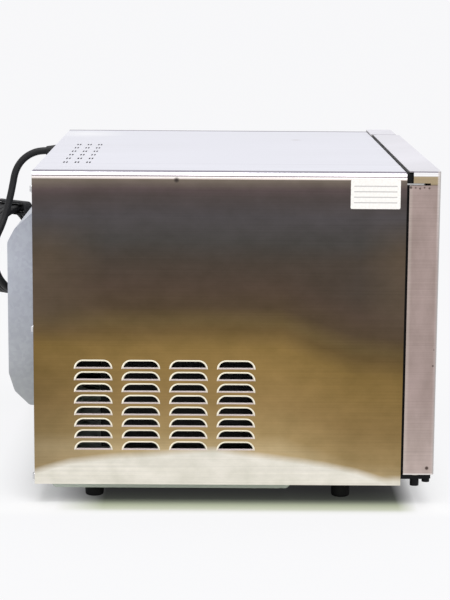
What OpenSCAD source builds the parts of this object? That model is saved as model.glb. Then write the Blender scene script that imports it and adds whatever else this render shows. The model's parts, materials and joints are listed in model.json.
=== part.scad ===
// Benchtop convection reflow oven: stainless cabinet with a side-hinged door on the left, a control
// panel on the right, a fan-driven chamber inside and an electronics bay beside it.
// +Z is up, the door faces -Y, the width runs along X. The origin is on the bench, under the middle.

/* [Cabinet] */
// Width of the cabinet
body_w = 520; // [500:1:560]
// Depth of the wrapped casing, front edge to rear edge
body_d = 374; // [360:1:420]
// Height of the casing above its lower edge
body_h = 320.5; // [318:0.5:350]
// Thickness of the casing sheet
sheet_t = 0.8; // [0.6:0.1:1.2]
// Outer radius of the bends along the top edges
wrap_bend_r = 8; // [5:0.5:9]
// Width of the flanges turned in under the casing
wrap_flange_w = 10; // [8:1:12]
// Height of the feet below the casing's lower edge
foot_h = 20; // [18:1:26]
// Radius of a foot
foot_r = 10; // [8:0.5:12]
// Distance of the foot centres from the casing's sides
foot_in = 35; // [32:1:45]
// Distance of the foot centres from the middle of the casing's depth
foot_y = 128; // [120:1:140]

/* [Side louvres] */
// Columns of louvres on each side
louvre_cols = 4; // [2:1:4]
// Rows of louvres on each side
louvre_rows = 8; // [3:1:9]
// Width of one louvre
louvre_w = 39.4; // [30:0.1:42]
// Height of one louvre
louvre_h = 9.5; // [8:0.1:10.4]
// Pitch of the columns
louvre_col_pitch = 48.3; // [46:0.1:52]
// Pitch of the rows
louvre_row_pitch = 12.05; // [11.8:0.05:14]
// Height of the lowest louvre above the casing's lower edge
louvre_z = 36; // [30:1:50]
// Distance from the casing's rear edge to the middle of the rearmost column
louvre_rear = 60.2; // [50:0.1:70]
// Radius of the rim rolled inwards round a louvre
louvre_roll = 2.1; // [1.6:0.1:3.5]
// Radius of the roll along a louvre's straight lower edge
louvre_sill = 1.6; // [1:0.1:2]

/* [Top vents] */
// Rows of vent slots across the top
vent_rows = 6; // [3:1:8]
// Groups of two slots in each row
vent_groups = 3; // [2:1:4]
// Pitch of the rows
vent_row_pitch = 41.5; // [36:0.5:44]
// Pitch of the groups in a row
vent_group_pitch = 12; // [10:0.5:16]
// Pitch of the two slots of a group
vent_slot_pitch = 3; // [2.6:0.1:4]
// Length of one slot
vent_slot_l = 15; // [10:1:18]
// Width of one slot
vent_slot_w = 1.6; // [1.2:0.1:2.2]
// Distance from the casing's rear edge to the first group
vent_rear = 25; // [22:1:30]
// Place of the first row, from the cabinet's middle plane
vent_x = -165; // [-180:1:-150]

/* [Base tray] */
// Depth of the drawn tray below the casing
tray_drop = 9.5; // [7:0.5:10]
// Distance of the tray from the casing's sides
tray_in = 22; // [20:1:25]
// Distance from the casing's rear edge to the rear end of the tray's floor
tray_rear = 19; // [18:1:30]
// Length of the tray's floor
tray_l = 239.5; // [220:0.5:240]
// Run of the tray's sloping ends
tray_slope = 9; // [8:1:14]

/* [Door] */
// Thickness of the door
door_t = 31.5; // [28:0.5:36]
// Height of the door's lower edge above the casing's lower edge
door_lift = 11.5; // [10:0.5:14]
// Height of the door's top above the casing's top
door_rise = 2; // [1:0.5:3]
// Width of the control panel to the right of the door
panel_w = 76; // [74:1:90]
// Gap between the door and the control panel
panel_gap = 2; // [1.5:0.1:3]
// Gap between the door skin's rear edge and the casing
door_gap = 2.5; // [2:0.1:3.5]
// Sheet of the door skin
skin_t = 1; // [0.8:0.1:1.4]
// Bend radius of the door skin's long edges
skin_bend_r = 4; // [3:0.5:5]
// Distance from the window to the door's free side
window_side = 84; // [74:1:100]
// Height of the window
window_h = 200; // [160:1:215]
// Distance from the door's hinge side to the window
window_x = 58; // [54:1:70]
// Distance from the door's lower edge to the window
window_z = 56; // [46:1:70]
// Corner radius of the window
window_r = 12; // [8:1:20]
// Thickness of each pane
glass_t = 4; // [3:0.5:5]
// How far a pane reaches past the window on each side
glass_lap = 9; // [6:1:12]

/* [Hinge and handle] */
// Distance of the hinge axis from the door's left side
hinge_in = 7; // [6.5:0.1:8]
// Distance of the hinge axis in front of the door skin's rear edge
hinge_fwd = 12.4; // [12:0.1:14]
// Radius of the lower hinge pin
pin_r = 4; // [3:0.5:5]
// Radius of the upper hinge pin
top_pin_r = 3; // [2.5:0.1:3.5]
// Thickness of the lower hinge plate
hinge_plate_t = 4; // [3:0.5:5]
// Thickness of the upper hinge arm, which swings in a slot of the door's side
hinge_arm_t = 1.5; // [1.2:0.1:2]
// How far the handle stands in front of the door
handle_reach = 34; // [32:1:50]
// Radius of the handle bar
handle_r = 6; // [5:0.5:7]
// Length of the handle bar
handle_l = 220; // [180:1:240]
// Distance of the handle bar from the door's free edge
handle_in = 26; // [22:1:30]

/* [Chamber] */
// Width from the chamber to the cabinet's right side, taken by the insulation and the bay
bay_w = 110; // [105:1:124]
// Height inside the chamber
chamber_h = 212; // [200:1:220]
// Depth from the front frame to the chamber's rear wall
chamber_d = 280; // [270:1:300]
// Distance from the cabinet's left side to the chamber
chamber_x = 55; // [50:1:60]
// Height of the chamber's floor above the casing's lower edge
chamber_z = 50; // [46:1:56]
// Sheet of the chamber liner
liner_t = 1; // [0.8:0.1:1.2]
// Corner radius of the chamber
chamber_r = 8; // [5:1:12]
// Thickness of the ceramic wool round the chamber
wool_t = 24; // [18:1:26]
// Distance between the air baffle and the chamber's rear wall
plenum_d = 36; // [34:1:44]
// Diameter of the heater tubes
heater_tube_d = 7; // [6:0.5:8]
// Pitch of the heater tubes
heater_pitch = 50; // [40:1:56]

/* [Rack] */
// Height of the rack above the chamber's floor
rack_z = 88; // [70:1:110]
// Thickness of the rack's frame rod
rack_rod_d = 5; // [4:0.5:6]
// Thickness of the rack's fill wires
rack_wire_d = 2.6; // [2:0.1:3]
// Number of fill wires
rack_wires = 15; // [9:1:21]
// Depth of the rack, front rod to rear rod
rack_d = 205; // [180:1:210]
// Distance of the rack's front rod behind the casing's front edge
rack_back = 27; // [25:1:34]

/* [Fans] */
// Radius of the circulation fan
fan_r = 62; // [50:1:70]
// Depth of the circulation fan's blades
fan_blade_d = 18; // [14:1:20]
// Number of circulation fan blades
fan_blades = 14; // [8:1:18]
// Radius of the fan shaft
shaft_r = 4; // [3:0.5:5]
// Radius of the fan motor
motor_r = 33; // [28:1:38]
// Length of the fan motor
motor_l = 44; // [36:1:48]
// Side of the bay cooling fan's square frame
bay_fan_w = 60; // [50:5:70]
// Depth of the bay cooling fan
bay_fan_d = 20; // [15:1:25]

/* [Rear cover] */
// Depth of the rear cover behind the casing
cover_d = 30.5; // [26:0.5:36]
// Left end of the rear cover, from the cabinet's left side
cover_x = 50; // [45:1:60]
// Distance from the rear cover to the cabinet's right side
cover_right = 104; // [100:1:130]
// Height of the rear cover's lower edge above the casing's lower edge
cover_z = 71; // [64:1:80]
// Height of the rear cover
cover_h = 205; // [190:1:210]

/* [Control panel] */
// How far the control panel stands behind the door's face
panel_back = 3; // [2:0.5:5]
// Width of the display window
display_w = 54; // [46:1:58]
// Height of the display window
display_h = 34; // [28:1:40]
// Diameter of a push button
button_d = 13; // [10:0.5:15]
// Pitch of the push buttons
button_pitch = 19; // [17:0.5:21]
// Rows of push buttons
button_rows = 2; // [1:1:2]
// Columns of push buttons
button_cols = 3; // [3:1:3]
// Travel of a push button
button_travel = 1.2; // [0.8:0.1:1.5]
// Diameter of the setting knob
knob_d = 34; // [28:1:38]
// Depth of the setting knob
knob_l = 15; // [12:1:18]
// Width of the mains rocker's opening
rocker_w = 22; // [19:1:26]
// Height of the mains rocker's opening
rocker_h = 30; // [26:1:34]

/* [Clearances] */
// Running clearance on radius of shafts and pins
run_gap = 0.05; // [0.03:0.01:0.08]
// Gap round a piece that moves
move_gap = 0.4; // [0.3:0.05:0.6]
// Gap between fitted sheets
fit_gap = 0.2; // [0.1:0.05:0.3]

/* [Hidden] */
$fn = 32;
touch = 0.01;                // gap between faces that bear on each other

// overall places
total_d = handle_reach + door_t + door_gap + body_d + cover_d;
door_face = -total_d / 2 + handle_reach;
door_rear = door_face + door_t;
wrap_front = door_rear + door_gap;
wrap_rear = wrap_front + body_d;
wrap_mid = (wrap_front + wrap_rear) / 2;
left = -body_w / 2;
right = body_w / 2;
cab_z = foot_h;
cab_top = cab_z + body_h;
inner_right = right - sheet_t;
foot_x = body_w / 2 - foot_in;
tray_half_w = body_w / 2 - tray_in;

// door
door_w = body_w - panel_w - panel_gap;
door_right = left + door_w;
door_z = cab_z + door_lift;
door_top = cab_top + door_rise;
door_h = door_top - door_z;
window_w = door_w - window_x - window_side;
win_x = left + window_x;
win_z = door_z + window_z;
frame_in = 3.5;              // inner frame's edge inside the skin's side, on the hinge side
frame_rear = wrap_front - 0.5;
frame_back_t = 2;
outer_glass_y = door_face + skin_t;
inner_glass_y = frame_rear - frame_back_t - glass_t;
hinge_x = left + hinge_in;
hinge_y = door_rear - hinge_fwd;
ear_h = 14;                  // height of the tab folded down at the door's top corners
ear_back = 4;                // how far the tab stops short of the skin's rear edge
arm_z = door_top - ear_h + 0.35;
slot_z0 = arm_z - 0.35;
slot_z1 = arm_z + hinge_arm_t + 0.35;
slot_l = 21;
bush_wall = 1.8;
low_bush_l = 21;
top_bush_l = 12;
plate_gap = 1;
plate_z = door_z - plate_gap - hinge_plate_t;

// front frame
frame_y = wrap_front + 3;
frame_t = 1.2;
frame_flange = 12;

// chamber
chamber_w = body_w - chamber_x - bay_w;
ch_x0 = left + chamber_x;
ch_x1 = ch_x0 + chamber_w;
ch_z0 = cab_z + chamber_z;
ch_z1 = ch_z0 + chamber_h;
ch_y0 = frame_y + frame_t;
ch_y1 = frame_y + chamber_d;
ch_xm = (ch_x0 + ch_x1) / 2;
ch_zm = (ch_z0 + ch_z1) / 2;
baffle_y = ch_y1 - plenum_d;
baffle_t = 1;
wool_y = ch_y1 + liner_t + wool_t;

// rack
rack_y0 = wrap_front + rack_back;
rack_y1 = rack_y0 + rack_d;
rack_mid_z = ch_z0 + rack_z;
rail_d = 11;
rail_t = 1;
rail_open = rack_rod_d + 2 * move_gap;
rack_x0 = ch_x0 + rail_t + move_gap + rack_rod_d / 2 + 1;
rack_x1 = ch_x1 - rail_t - move_gap - rack_rod_d / 2 - 1;

// fan train
fan_y0 = baffle_y + baffle_t + 5;
fan_plate_t = 1.2;
fan_y1 = fan_y0 + fan_blade_d + fan_plate_t;
bracket_y = wool_y + 3;
bracket_t = 1.5;
motor_y0 = bracket_y + bracket_t;
motor_y1 = motor_y0 + motor_l;
blade_gap = 3;
motor_blade_l = 8;
shaft_y0 = fan_y0 - 3;
shaft_y1 = motor_y1 + blade_gap + motor_blade_l;

// heaters
heater_r = heater_tube_d / 2;
heater_runs = 4;
heater_x0 = ch_x0 + 40;
heater_x1 = ch_x1 - 30;
heater_y0 = ch_y0 + 40;
heater_gap = 12;             // tube axis to the chamber's floor or ceiling
heater_end_x = ch_x1 + liner_t + wool_t + 6;
terminal_l = 14;

// electronics bay
bay_x0 = ch_x1 + liner_t + wool_t + 4;
panel_x0 = right - panel_w;
panel_face = door_face + panel_back;
panel_mid = (panel_x0 + right) / 2;
panel_z0 = door_z;
panel_z1 = door_top;
fascia_t = 2.5;
display_z = panel_z1 - 66;
button_z = display_z - 42;
knob_z = button_z - button_pitch * (button_rows - 1) - 48;
rocker_z = panel_z0 + 48;
button_face = panel_face - 2.2;
board_y = panel_face + fascia_t + 9;
bay_fan_x = bay_x0 + bay_fan_w / 2 + 6;
bay_fan_z = cab_z + 70;
bay_fan_hub = 11;
bay_blade_w = 16;
bay_edge = 12;               // free strip beside the bay's outer wall
mains_board_l = 120;
board_t = 1.6;
standoff_h = 8;
hole_in = 5;                 // mounting holes from a board's edges
relay_t = 16;
relay_w = 30;
sink_x0 = bay_x0 + 8;
sink_w = inner_right - bay_edge - relay_t - sink_x0;
sink_l = 76;
sink_h = 48;
sink_back = 37;              // heatsink's front end behind the casing's front edge
board_over = 12;             // control board above the display's opening
board_under = 22;            // control board below the knob's shaft
stud_r = 1.6;
key_w = 6;
key_t = 3;
encoder_w = 14;
encoder_t = 6;
knob_shaft_r = 3;

// rear cover
cover_w = body_w - cover_x - cover_right;
cov_x0 = left + cover_x;
cov_x1 = cov_x0 + cover_w;
cov_z0 = cab_z + cover_z;
cov_z1 = cov_z0 + cover_h;
cov_face = wrap_rear + cover_d;

// mains lead: gland on the rear panel, a hanging lead, a tied coil, a tail and a plug
cord_d = 9;
gland_x = right - 74;
gland_z = cab_top - 20.5;
gland_thread_r = 8;
gland_flange_r = 11;
boot_l = 24;                 // length of the boot behind the rear panel
cord_exit = [gland_x, wrap_rear, gland_z];
coil_step = [20, 70, -124];  // from the gland to the middle of the coil
coil_c = cord_exit + coil_step;
coil_turn = 140;             // heading of the coil's diameter at its free side, in degrees
coil_r = 52;                 // radius at the middle of the turns
coil_spread = 46;            // from the middle of the first turn to the middle of the last
coil_t = coil_spread + cord_d + 1;
coil_wall = cord_d / 2 + 1;
lead_steps = [
    [0, 8, 0], [0, 17, 0], [0, 26, 0], [0, 35.8, -1.3], [0, 45, -5.1], [-0.5, 52.9, -11.1],
    [-1.5, 58.9, -19], [-3.5, 62.7, -28.2], [-6, 64.7, -38.5], [-9, 66.7, -49.5],
    [-12.5, 69.2, -61], [-16.5, 72, -72], [-20.5, 75, -82], [-25, 78, -91]
];
tail_steps = [[-5, 121, -124], [-5, 121, -136], [-5, 120, -148], [-5, 119, -160], [-5, 118, -170]];
lead_route = [for (p = lead_steps) cord_exit + p];
tail_route = [for (p = tail_steps) cord_exit + p];
plug_l = 46;
plug_w = 34;

// ---- shapes shared by several pieces ----

// rectangle from one corner, its corners rounded
module round_rect(w, h, r) {
    translate([r, 0]) square([w - 2 * r, h]);
    translate([0, r]) square([w, h - 2 * r]);
    for (x = [r, w - r], y = [r, h - r])
        translate([x, y]) circle(r);
}

// upright outline w by h with only its two upper corners rounded
module arch_rect(w, h, r) {
    square([w, h - r]);
    translate([r, 0]) square([w - 2 * r, h]);
    for (x = [r, w - r])
        translate([x, h - r]) circle(r);
}

// extrude an XZ outline along +Y from y0 to y1
module along_y(y0, y1) {
    translate([0, y1, 0]) rotate([90, 0, 0]) linear_extrude(y1 - y0) children();
}

// extrude a YZ outline along +X from x0 to x1
module along_x(x0, x1) {
    translate([x0, 0, 0]) rotate([90, 0, 90]) linear_extrude(x1 - x0) children();
}

// cylinder along Y
module rod_y(x, z, r, y0, y1) {
    translate([x, y1, z]) rotate([90, 0, 0]) cylinder(r = r, h = y1 - y0);
}

// cylinder along X
module rod_x(y, z, r, x0, x1) {
    translate([x0, y, z]) rotate([0, 90, 0]) cylinder(r = r, h = x1 - x0);
}

module box(x0, x1, y0, y1, z0, z1) {
    translate([x0, y0, z0]) cube([x1 - x0, y1 - y0, z1 - z0]);
}

// points of a convex outline with each corner rounded to radius r
function unit(v) = v / norm(v);
function round_corner(a, b, c, r, n = 6) =
    let (u = unit(a - b), v = unit(c - b), half = acos(u * v) / 2, m = unit(u + v),
         o = b + m * r / sin(half), s = sign(u.y * v.x - u.x * v.y), turn = 180 - 2 * half,
         start = b + u * r / tan(half) - o, a0 = atan2(start.y, start.x))
    [for (i = [0:n]) o + r * [cos(a0 + s * turn * i / n), sin(a0 + s * turn * i / n)]];
function rounded(p, r) =
    [for (i = [0:len(p) - 1])
        each round_corner(p[(i + len(p) - 1) % len(p)], p[i], p[(i + 1) % len(p)], r[i])];

// ---- casing ----

function louvre_y(c) = wrap_rear - louvre_rear - c * louvre_col_pitch;
function louvre_row_z(k) = cab_z + louvre_z + k * louvre_row_pitch;
louvre_flat = louvre_w / 2 - louvre_h;

// half-obround outline of a louvre: flat sill, quarter-round shoulders, in (y, z)
module louvre_outline() {
    intersection() {
        union() {
            for (s = [-1, 1])
                translate([s * louvre_flat, 0]) circle(louvre_h);
            translate([-louvre_flat, 0]) square([2 * louvre_flat, louvre_h]);
        }
        translate([-louvre_w, 0]) square([2 * louvre_w, louvre_h + 1]);
    }
}

// section of a sheet rolled a quarter turn, as (height, depth): its outer face starts at [r, 0]
// in the plane of the sheet and ends at [0, r], pointing straight inwards
module roll_section(r) {
    inner = max(r - sheet_t, 0.3);
    polygon(concat([for (a = [0:30:90]) [r, r] - r * [sin(a), cos(a)]],
                   [for (a = [90:-30:0]) [r, r] - inner * [sin(a), cos(a)]]));
}

module roll_strip(half, r) {
    rotate([0, -90, -90]) linear_extrude(2 * half, center = true) roll_section(r);
}

// the rolled rim of one louvre, standing inwards from the left wall's outer face
module louvre_rim() {
    for (s = [0, 1])
        translate([0, (1 - 2 * s) * louvre_flat, 0])
            rotate([0, 90, 0]) rotate([0, 0, 90 + 90 * s])
                rotate_extrude(angle = 90)
                    translate([louvre_h - louvre_roll, 0]) roll_section(louvre_roll);
    translate([0, 0, louvre_h - louvre_roll]) roll_strip(louvre_flat, louvre_roll);
    translate([0, 0, louvre_sill]) mirror([0, 0, 1])
        roll_strip(louvre_w / 2 - louvre_sill, louvre_sill);
}

module wrap_sheet() {
    difference() {
        along_y(wrap_front, wrap_rear)
            translate([left, cab_z]) arch_rect(body_w, body_h, wrap_bend_r);
        along_y(wrap_front - 1, wrap_rear + 1)
            translate([left + sheet_t, cab_z + sheet_t])
                arch_rect(body_w - 2 * sheet_t, body_h - 2 * sheet_t, wrap_bend_r - sheet_t);
        box(left + wrap_flange_w, right - wrap_flange_w, wrap_front - 1, wrap_rear + 1,
            cab_z - 1, cab_z + sheet_t + 1);
        for (i = [0:vent_rows - 1], g = [0:vent_groups - 1], k = [0, 1])
            translate([vent_x + i * vent_row_pitch,
                       wrap_rear - vent_rear - g * vent_group_pitch - k * vent_slot_pitch,
                       cab_top - sheet_t - 1])
                vent_slot();
        for (s = [-1, 1], c = [0:louvre_cols - 1], k = [0:louvre_rows - 1])
            translate([s * (right - sheet_t / 2) - 2, louvre_y(c), louvre_row_z(k)])
                rotate([90, 0, 90]) linear_extrude(4) louvre_outline();
    }
}

module vent_slot() {
    for (s = [-1, 1])
        translate([s * (vent_slot_l - vent_slot_w) / 2, 0, 0])
            cylinder(d = vent_slot_w, h = sheet_t + 2, $fn = 16);
    translate([-(vent_slot_l - vent_slot_w) / 2, -vent_slot_w / 2, 0])
        cube([vent_slot_l - vent_slot_w, vent_slot_w, sheet_t + 2]);
}

module outer_wrap() {
    color("silver") {
        wrap_sheet();
        for (c = [0:louvre_cols - 1], k = [0:louvre_rows - 1]) {
            translate([left, louvre_y(c), louvre_row_z(k)]) louvre_rim();
            translate([right, louvre_y(c), louvre_row_z(k)]) mirror([1, 0, 0]) louvre_rim();
        }
    }
}

// sheet panel closing the back, with flanges turned forward inside the casing
module rear_panel() {
    w = body_w - 2 * sheet_t;
    h = body_h - sheet_t;
    r = wrap_bend_r - sheet_t;
    color("lightsteelblue")
    difference() {
        along_y(wrap_rear - frame_flange, wrap_rear)
            translate([left + sheet_t, cab_z + sheet_t]) arch_rect(w, h - sheet_t, r);
        along_y(wrap_rear - frame_flange - 1, wrap_rear - sheet_t)
            translate([left + 2 * sheet_t, cab_z + sheet_t - 1])
                arch_rect(w - 2 * sheet_t, h - 2 * sheet_t + 1, r - sheet_t);
        // opening behind the rear cover
        along_y(wrap_rear - 2, wrap_rear + 1)
            translate([cov_x0 + 14, cov_z0 + 14]) round_rect(cover_w - 28, cover_h - 28, 6);
        rod_y(gland_x, gland_z, gland_thread_r + run_gap, wrap_rear - 3, wrap_rear + 3);
        bay_fan_grille();
    }
}

// rings of slots in front of the bay fan, crossed by four bars
module bay_fan_grille() {
    step = 6;
    for (r = [10:step:bay_fan_w / 2 - 5])
        difference() {
            rod_y(bay_fan_x, bay_fan_z, r + step * 0.6, wrap_rear - 2, wrap_rear + 1);
            rod_y(bay_fan_x, bay_fan_z, r, wrap_rear - 3, wrap_rear + 2);
            for (a = [45, 135])
                translate([bay_fan_x, wrap_rear, bay_fan_z]) rotate([0, a, 0])
                    cube([bay_fan_w, 8, 3], center = true);
        }
}

// folded cover over the fan motor
function cover_outline(g) =
    rounded(
        [[wrap_rear - 20, cov_z0 + g], [wrap_rear + 9 - g, cov_z0 + g],
         [wrap_rear + cover_d - 6 - g * 0.4, cov_z0 + 15 + g * 0.4], [cov_face - g, cov_z0 + 34],
         [cov_face - g, cov_z1 - 34], [wrap_rear + 23 - g * 0.6, cov_z1 - 20 - g * 0.4],
         [wrap_rear + 1 - g * 0.6, cov_z1 - g], [wrap_rear - 20, cov_z1 - g]],
        [1, 6, 8, 10, 10, 8, 1, 1]);

module rear_fan_cover() {
    slots = 9;
    color("lightgray")
    difference() {
        along_x(cov_x0, cov_x1) polygon(cover_outline(0));
        along_x(cov_x0 + sheet_t, cov_x1 - sheet_t) polygon(cover_outline(sheet_t));
        box(cov_x0 - 1, cov_x1 + 1, wrap_rear - 30, wrap_rear, cov_z0 - 5, cov_z1 + 5);
        for (s = [-1, 1], i = [0:slots - 1])
            translate([(cov_x0 + cov_x1) / 2 + s * 60 + (i - (slots - 1) / 2) * 9, cov_face,
                       (cov_z0 + cov_z1) / 2])
                rotate([90, 0, 0]) linear_extrude(4, center = true)
                    translate([-1.6, -30]) round_rect(3.2, 60, 1.59);
    }
}

// floor plate with a drawn tray
function tray_outline(g) =
    rounded(
        [[wrap_rear - tray_rear - tray_l - tray_slope + g, 5],
         [wrap_rear - tray_rear - tray_l - tray_slope + g, g - 0.001],
         [wrap_rear - tray_rear - tray_l + g * 0.4, g - tray_drop],
         [wrap_rear - tray_rear - g * 0.4, g - tray_drop],
         [wrap_rear - tray_rear + tray_slope - g, g - 0.001],
         [wrap_rear - tray_rear + tray_slope - g, 5]],
        [0.5, 0.5, 5, 5, 0.5, 0.5]);

module base_pan() {
    floor_z = cab_z + sheet_t;
    fw = body_w / 2 - 2 * sheet_t - fit_gap;
    color("gainsboro")
    difference() {
        union() {
            box(-fw, fw, frame_y + frame_t + touch, wrap_rear - sheet_t - touch,
                floor_z, floor_z + sheet_t);
            intersection() {
                translate([0, 0, cab_z]) along_x(-tray_half_w, tray_half_w)
                    polygon(tray_outline(0));
                box(-tray_half_w, tray_half_w, wrap_front, wrap_rear, 0, floor_z + sheet_t);
            }
        }
        translate([0, 0, cab_z]) along_x(-tray_half_w + sheet_t, tray_half_w - sheet_t)
            polygon(tray_outline(sheet_t));
    }
}

// foot outline as a radius profile: rounded tread, slight taper
module foot(h) {
    rotate_extrude($fn = 32)
        union() {
            polygon([[0, 0], [foot_r - 2.5, 0], [foot_r - 0.5, 2], [foot_r, h], [0, h]]);
            translate([foot_r - 2.5, 2]) circle(2, $fn = 24);
        }
}

module feet() {
    color("#1c1c1c")
    for (s = [-1, 1]) {
        translate([s * foot_x, wrap_mid - foot_y, 0]) foot(cab_z + sheet_t);
        translate([s * foot_x, wrap_mid + foot_y, 0]) foot(cab_z - tray_drop);
    }
}

// hexagon-headed screws holding the casing to the rear panel
module wrap_screws() {
    color("gray")
    for (s = [-1, 1], z = [cab_z + 7, cab_z + body_h / 2, cab_top - 18])
        translate([s * (right - 6), wrap_rear, z]) rotate([-90, 0, 0]) {
            cylinder(r = 3.4, h = 2.4, $fn = 6);
            cylinder(r = 4.2, h = 0.7, $fn = 24);
        }
}

// plate behind the door, with the chamber's mouth and the opening of the electronics bay
module front_frame() {
    w = body_w - 2 * sheet_t;
    h = body_h - 2 * sheet_t;
    r = wrap_bend_r - sheet_t;
    color("dimgray")
    difference() {
        along_y(frame_y, frame_y + frame_flange)
            translate([left + sheet_t, cab_z + sheet_t]) arch_rect(w, h, r);
        along_y(frame_y + frame_t, frame_y + frame_flange + 1)
            translate([left + 2 * sheet_t, cab_z + sheet_t - 1])
                arch_rect(w - 2 * sheet_t, h - sheet_t + 1, r - sheet_t);
        along_y(frame_y - 1, frame_y + frame_t + 1)
            translate([ch_x0, ch_z0]) round_rect(chamber_w, chamber_h, chamber_r);
        along_y(frame_y - 1, frame_y + frame_t + 1)
            translate([panel_x0 + 8, panel_z0 + 20])
                round_rect(panel_w - 20, panel_z1 - panel_z0 - 50, 4);
    }
    // steel pads that the door's magnets meet
    color("dimgray")
    for (z = magnet_zs)
        rod_y(magnet_x, z, magnet_r + 1, frame_rear + magnet_out + move_gap, frame_y + 0.5);
}

// ---- chamber ----

module chamber_liner() {
    color("lightgray")
    difference() {
        along_y(ch_y0, ch_y1 + liner_t)
            translate([ch_x0 - liner_t, ch_z0 - liner_t])
                round_rect(chamber_w + 2 * liner_t, chamber_h + 2 * liner_t, chamber_r + liner_t);
        along_y(ch_y0 - 1, ch_y1)
            translate([ch_x0, ch_z0]) round_rect(chamber_w, chamber_h, chamber_r);
        rod_y(ch_xm, ch_zm, shaft_r + 3, ch_y1 - 1, ch_y1 + liner_t + 1);
        // flue slot in the ceiling above the plenum
        box(ch_xm - flue_w / 2, ch_xm + flue_w / 2, flue_y0, flue_y1, ch_z1 - 1, ch_z1 + 2);
        heater_holes(ch_x1 - 1, ch_x1 + liner_t + 1, fit_gap);
        rod_x(probe_y, probe_z, probe_r + fit_gap, ch_x1 - 1, ch_x1 + liner_t + 1);
    }
}

flue_w = 120;
flue_y0 = baffle_y + 8;
flue_y1 = flue_y0 + 18;
probe_y = baffle_y - 22;
probe_z = ch_z1 - 34;
probe_r = 1.5;
probe_nut_r = 5;
probe_reach = 60;            // how far the probe stands into the chamber

module heater_holes(x0, x1, gap) {
    for (z = [ch_z0 + heater_gap, ch_z1 - heater_gap], k = [0, heater_runs - 1])
        rod_x(heater_y0 + k * heater_pitch, z, heater_r + gap, x0, x1);
}

// jacket of ceramic wool round the chamber, open at the front
module ceramic_wool() {
    gap = fit_gap;
    color("ivory")
    difference() {
        along_y(ch_y0 + frame_flange, wool_y)
            translate([ch_x0 - liner_t - wool_t, ch_z0 - liner_t - wool_t])
                round_rect(chamber_w + 2 * (liner_t + wool_t), chamber_h + 2 * (liner_t + wool_t),
                           chamber_r + wool_t);
        along_y(ch_y0, ch_y1 + liner_t + gap)
            translate([ch_x0 - liner_t - gap, ch_z0 - liner_t - gap])
                round_rect(chamber_w + 2 * (liner_t + gap), chamber_h + 2 * (liner_t + gap),
                           chamber_r + liner_t + gap);
        rod_y(ch_xm, ch_zm, shaft_r + 4, ch_y1, wool_y + 1);
        box(ch_xm - flue_w / 2 - sheet_t - gap, ch_xm + flue_w / 2 + sheet_t + gap,
            flue_y0 - sheet_t - gap, wool_y + 1, ch_z1 + liner_t, ch_z1 + 2 * wool_t);
        heater_holes(ch_x1, heater_end_x + 1, fit_gap);
        rod_x(probe_y, probe_z, probe_nut_r + fit_gap, ch_x1, heater_end_x + 1);
    }
}

// pressed screen in front of the fan: round intake in the middle, outlet slots along both sides
module air_baffle() {
    gap = 0.3;
    lip = 8;
    color("silver")
    difference() {
        along_y(baffle_y, baffle_y + lip)
            translate([ch_x0 + gap, ch_z0 + gap])
                round_rect(chamber_w - 2 * gap, chamber_h - 2 * gap, chamber_r - gap);
        along_y(baffle_y + baffle_t, baffle_y + lip + 1)
            translate([ch_x0 + gap + 1, ch_z0 + gap + 1])
                round_rect(chamber_w - 2 * gap - 2, chamber_h - 2 * gap - 2, chamber_r - 1);
        for (ring = [0:4])
            for (k = [0:max(ring * 6 - 1, 0)])
                rod_y(ch_xm + ring * 10 * cos(k * 60 / max(ring, 1)),
                      ch_zm + ring * 10 * sin(k * 60 / max(ring, 1)), 3.4,
                      baffle_y - 1, baffle_y + 2);
        for (s = [-1, 1], k = [0:5])
            along_y(baffle_y - 1, baffle_y + 2)
                translate([ch_xm + s * (chamber_w / 2 - 34) - 14, ch_z0 + 34 + k * 26])
                    round_rect(28, 7, 3.49);
    }
}

// channel strip that guides the rack, its web on the wall of the chamber
module rack_rail(wall_x, s) {
    zc = rack_mid_z;
    half = rail_open / 2;
    x1 = wall_x + s * rail_d;
    color("silver") {
        box(min(wall_x, wall_x + s * rail_t), max(wall_x, wall_x + s * rail_t),
            rack_y0 - 3, rack_y1 + 6, zc - half - rail_t, zc + half + rail_t);
        for (z = [zc - half - rail_t, zc + half])
            box(min(wall_x, x1), max(wall_x, x1), rack_y0 - 3, rack_y1 + 6, z, z + rail_t);
        box(min(wall_x, x1), max(wall_x, x1), rack_y1 + rack_rod_d / 2 + 1, rack_y1 + 6,
            zc - half - rail_t, zc + half + rail_t);
    }
}

module left_rack_rail() { rack_rail(ch_x0, 1); }
module right_rack_rail() { rack_rail(ch_x1, -1); }

// welded wire rack: frame rods, cross wires and fill wires, with a bent stop at the front
module board_rack() {
    r = rack_rod_d / 2;
    w = rack_wire_d / 2;
    inset = rail_d + 6;
    x0 = rack_x0 + inset;
    x1 = rack_x1 - inset;
    color("lightgray") {
        for (x = [rack_x0, rack_x1]) {
            rod_y(x, rack_mid_z, r, rack_y0, rack_y1);
            for (y = [rack_y0, rack_y1])
                translate([x, y, rack_mid_z]) sphere(r);
        }
        for (y = [rack_y0, rack_y1])
            rod_x(y, rack_mid_z, r, rack_x0, rack_x1);
        for (y = [rack_y0 + rack_d / 3, rack_y0 + rack_d * 2 / 3])
            rod_x(y, rack_mid_z, r * 0.8, rack_x0, rack_x1);
        for (i = [0:rack_wires - 1])
            rod_y(x0 + (x1 - x0) * i / (rack_wires - 1), rack_mid_z + r + w - 0.5, w,
                  rack_y0 - w, rack_y1 + w);
    }
}

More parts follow.
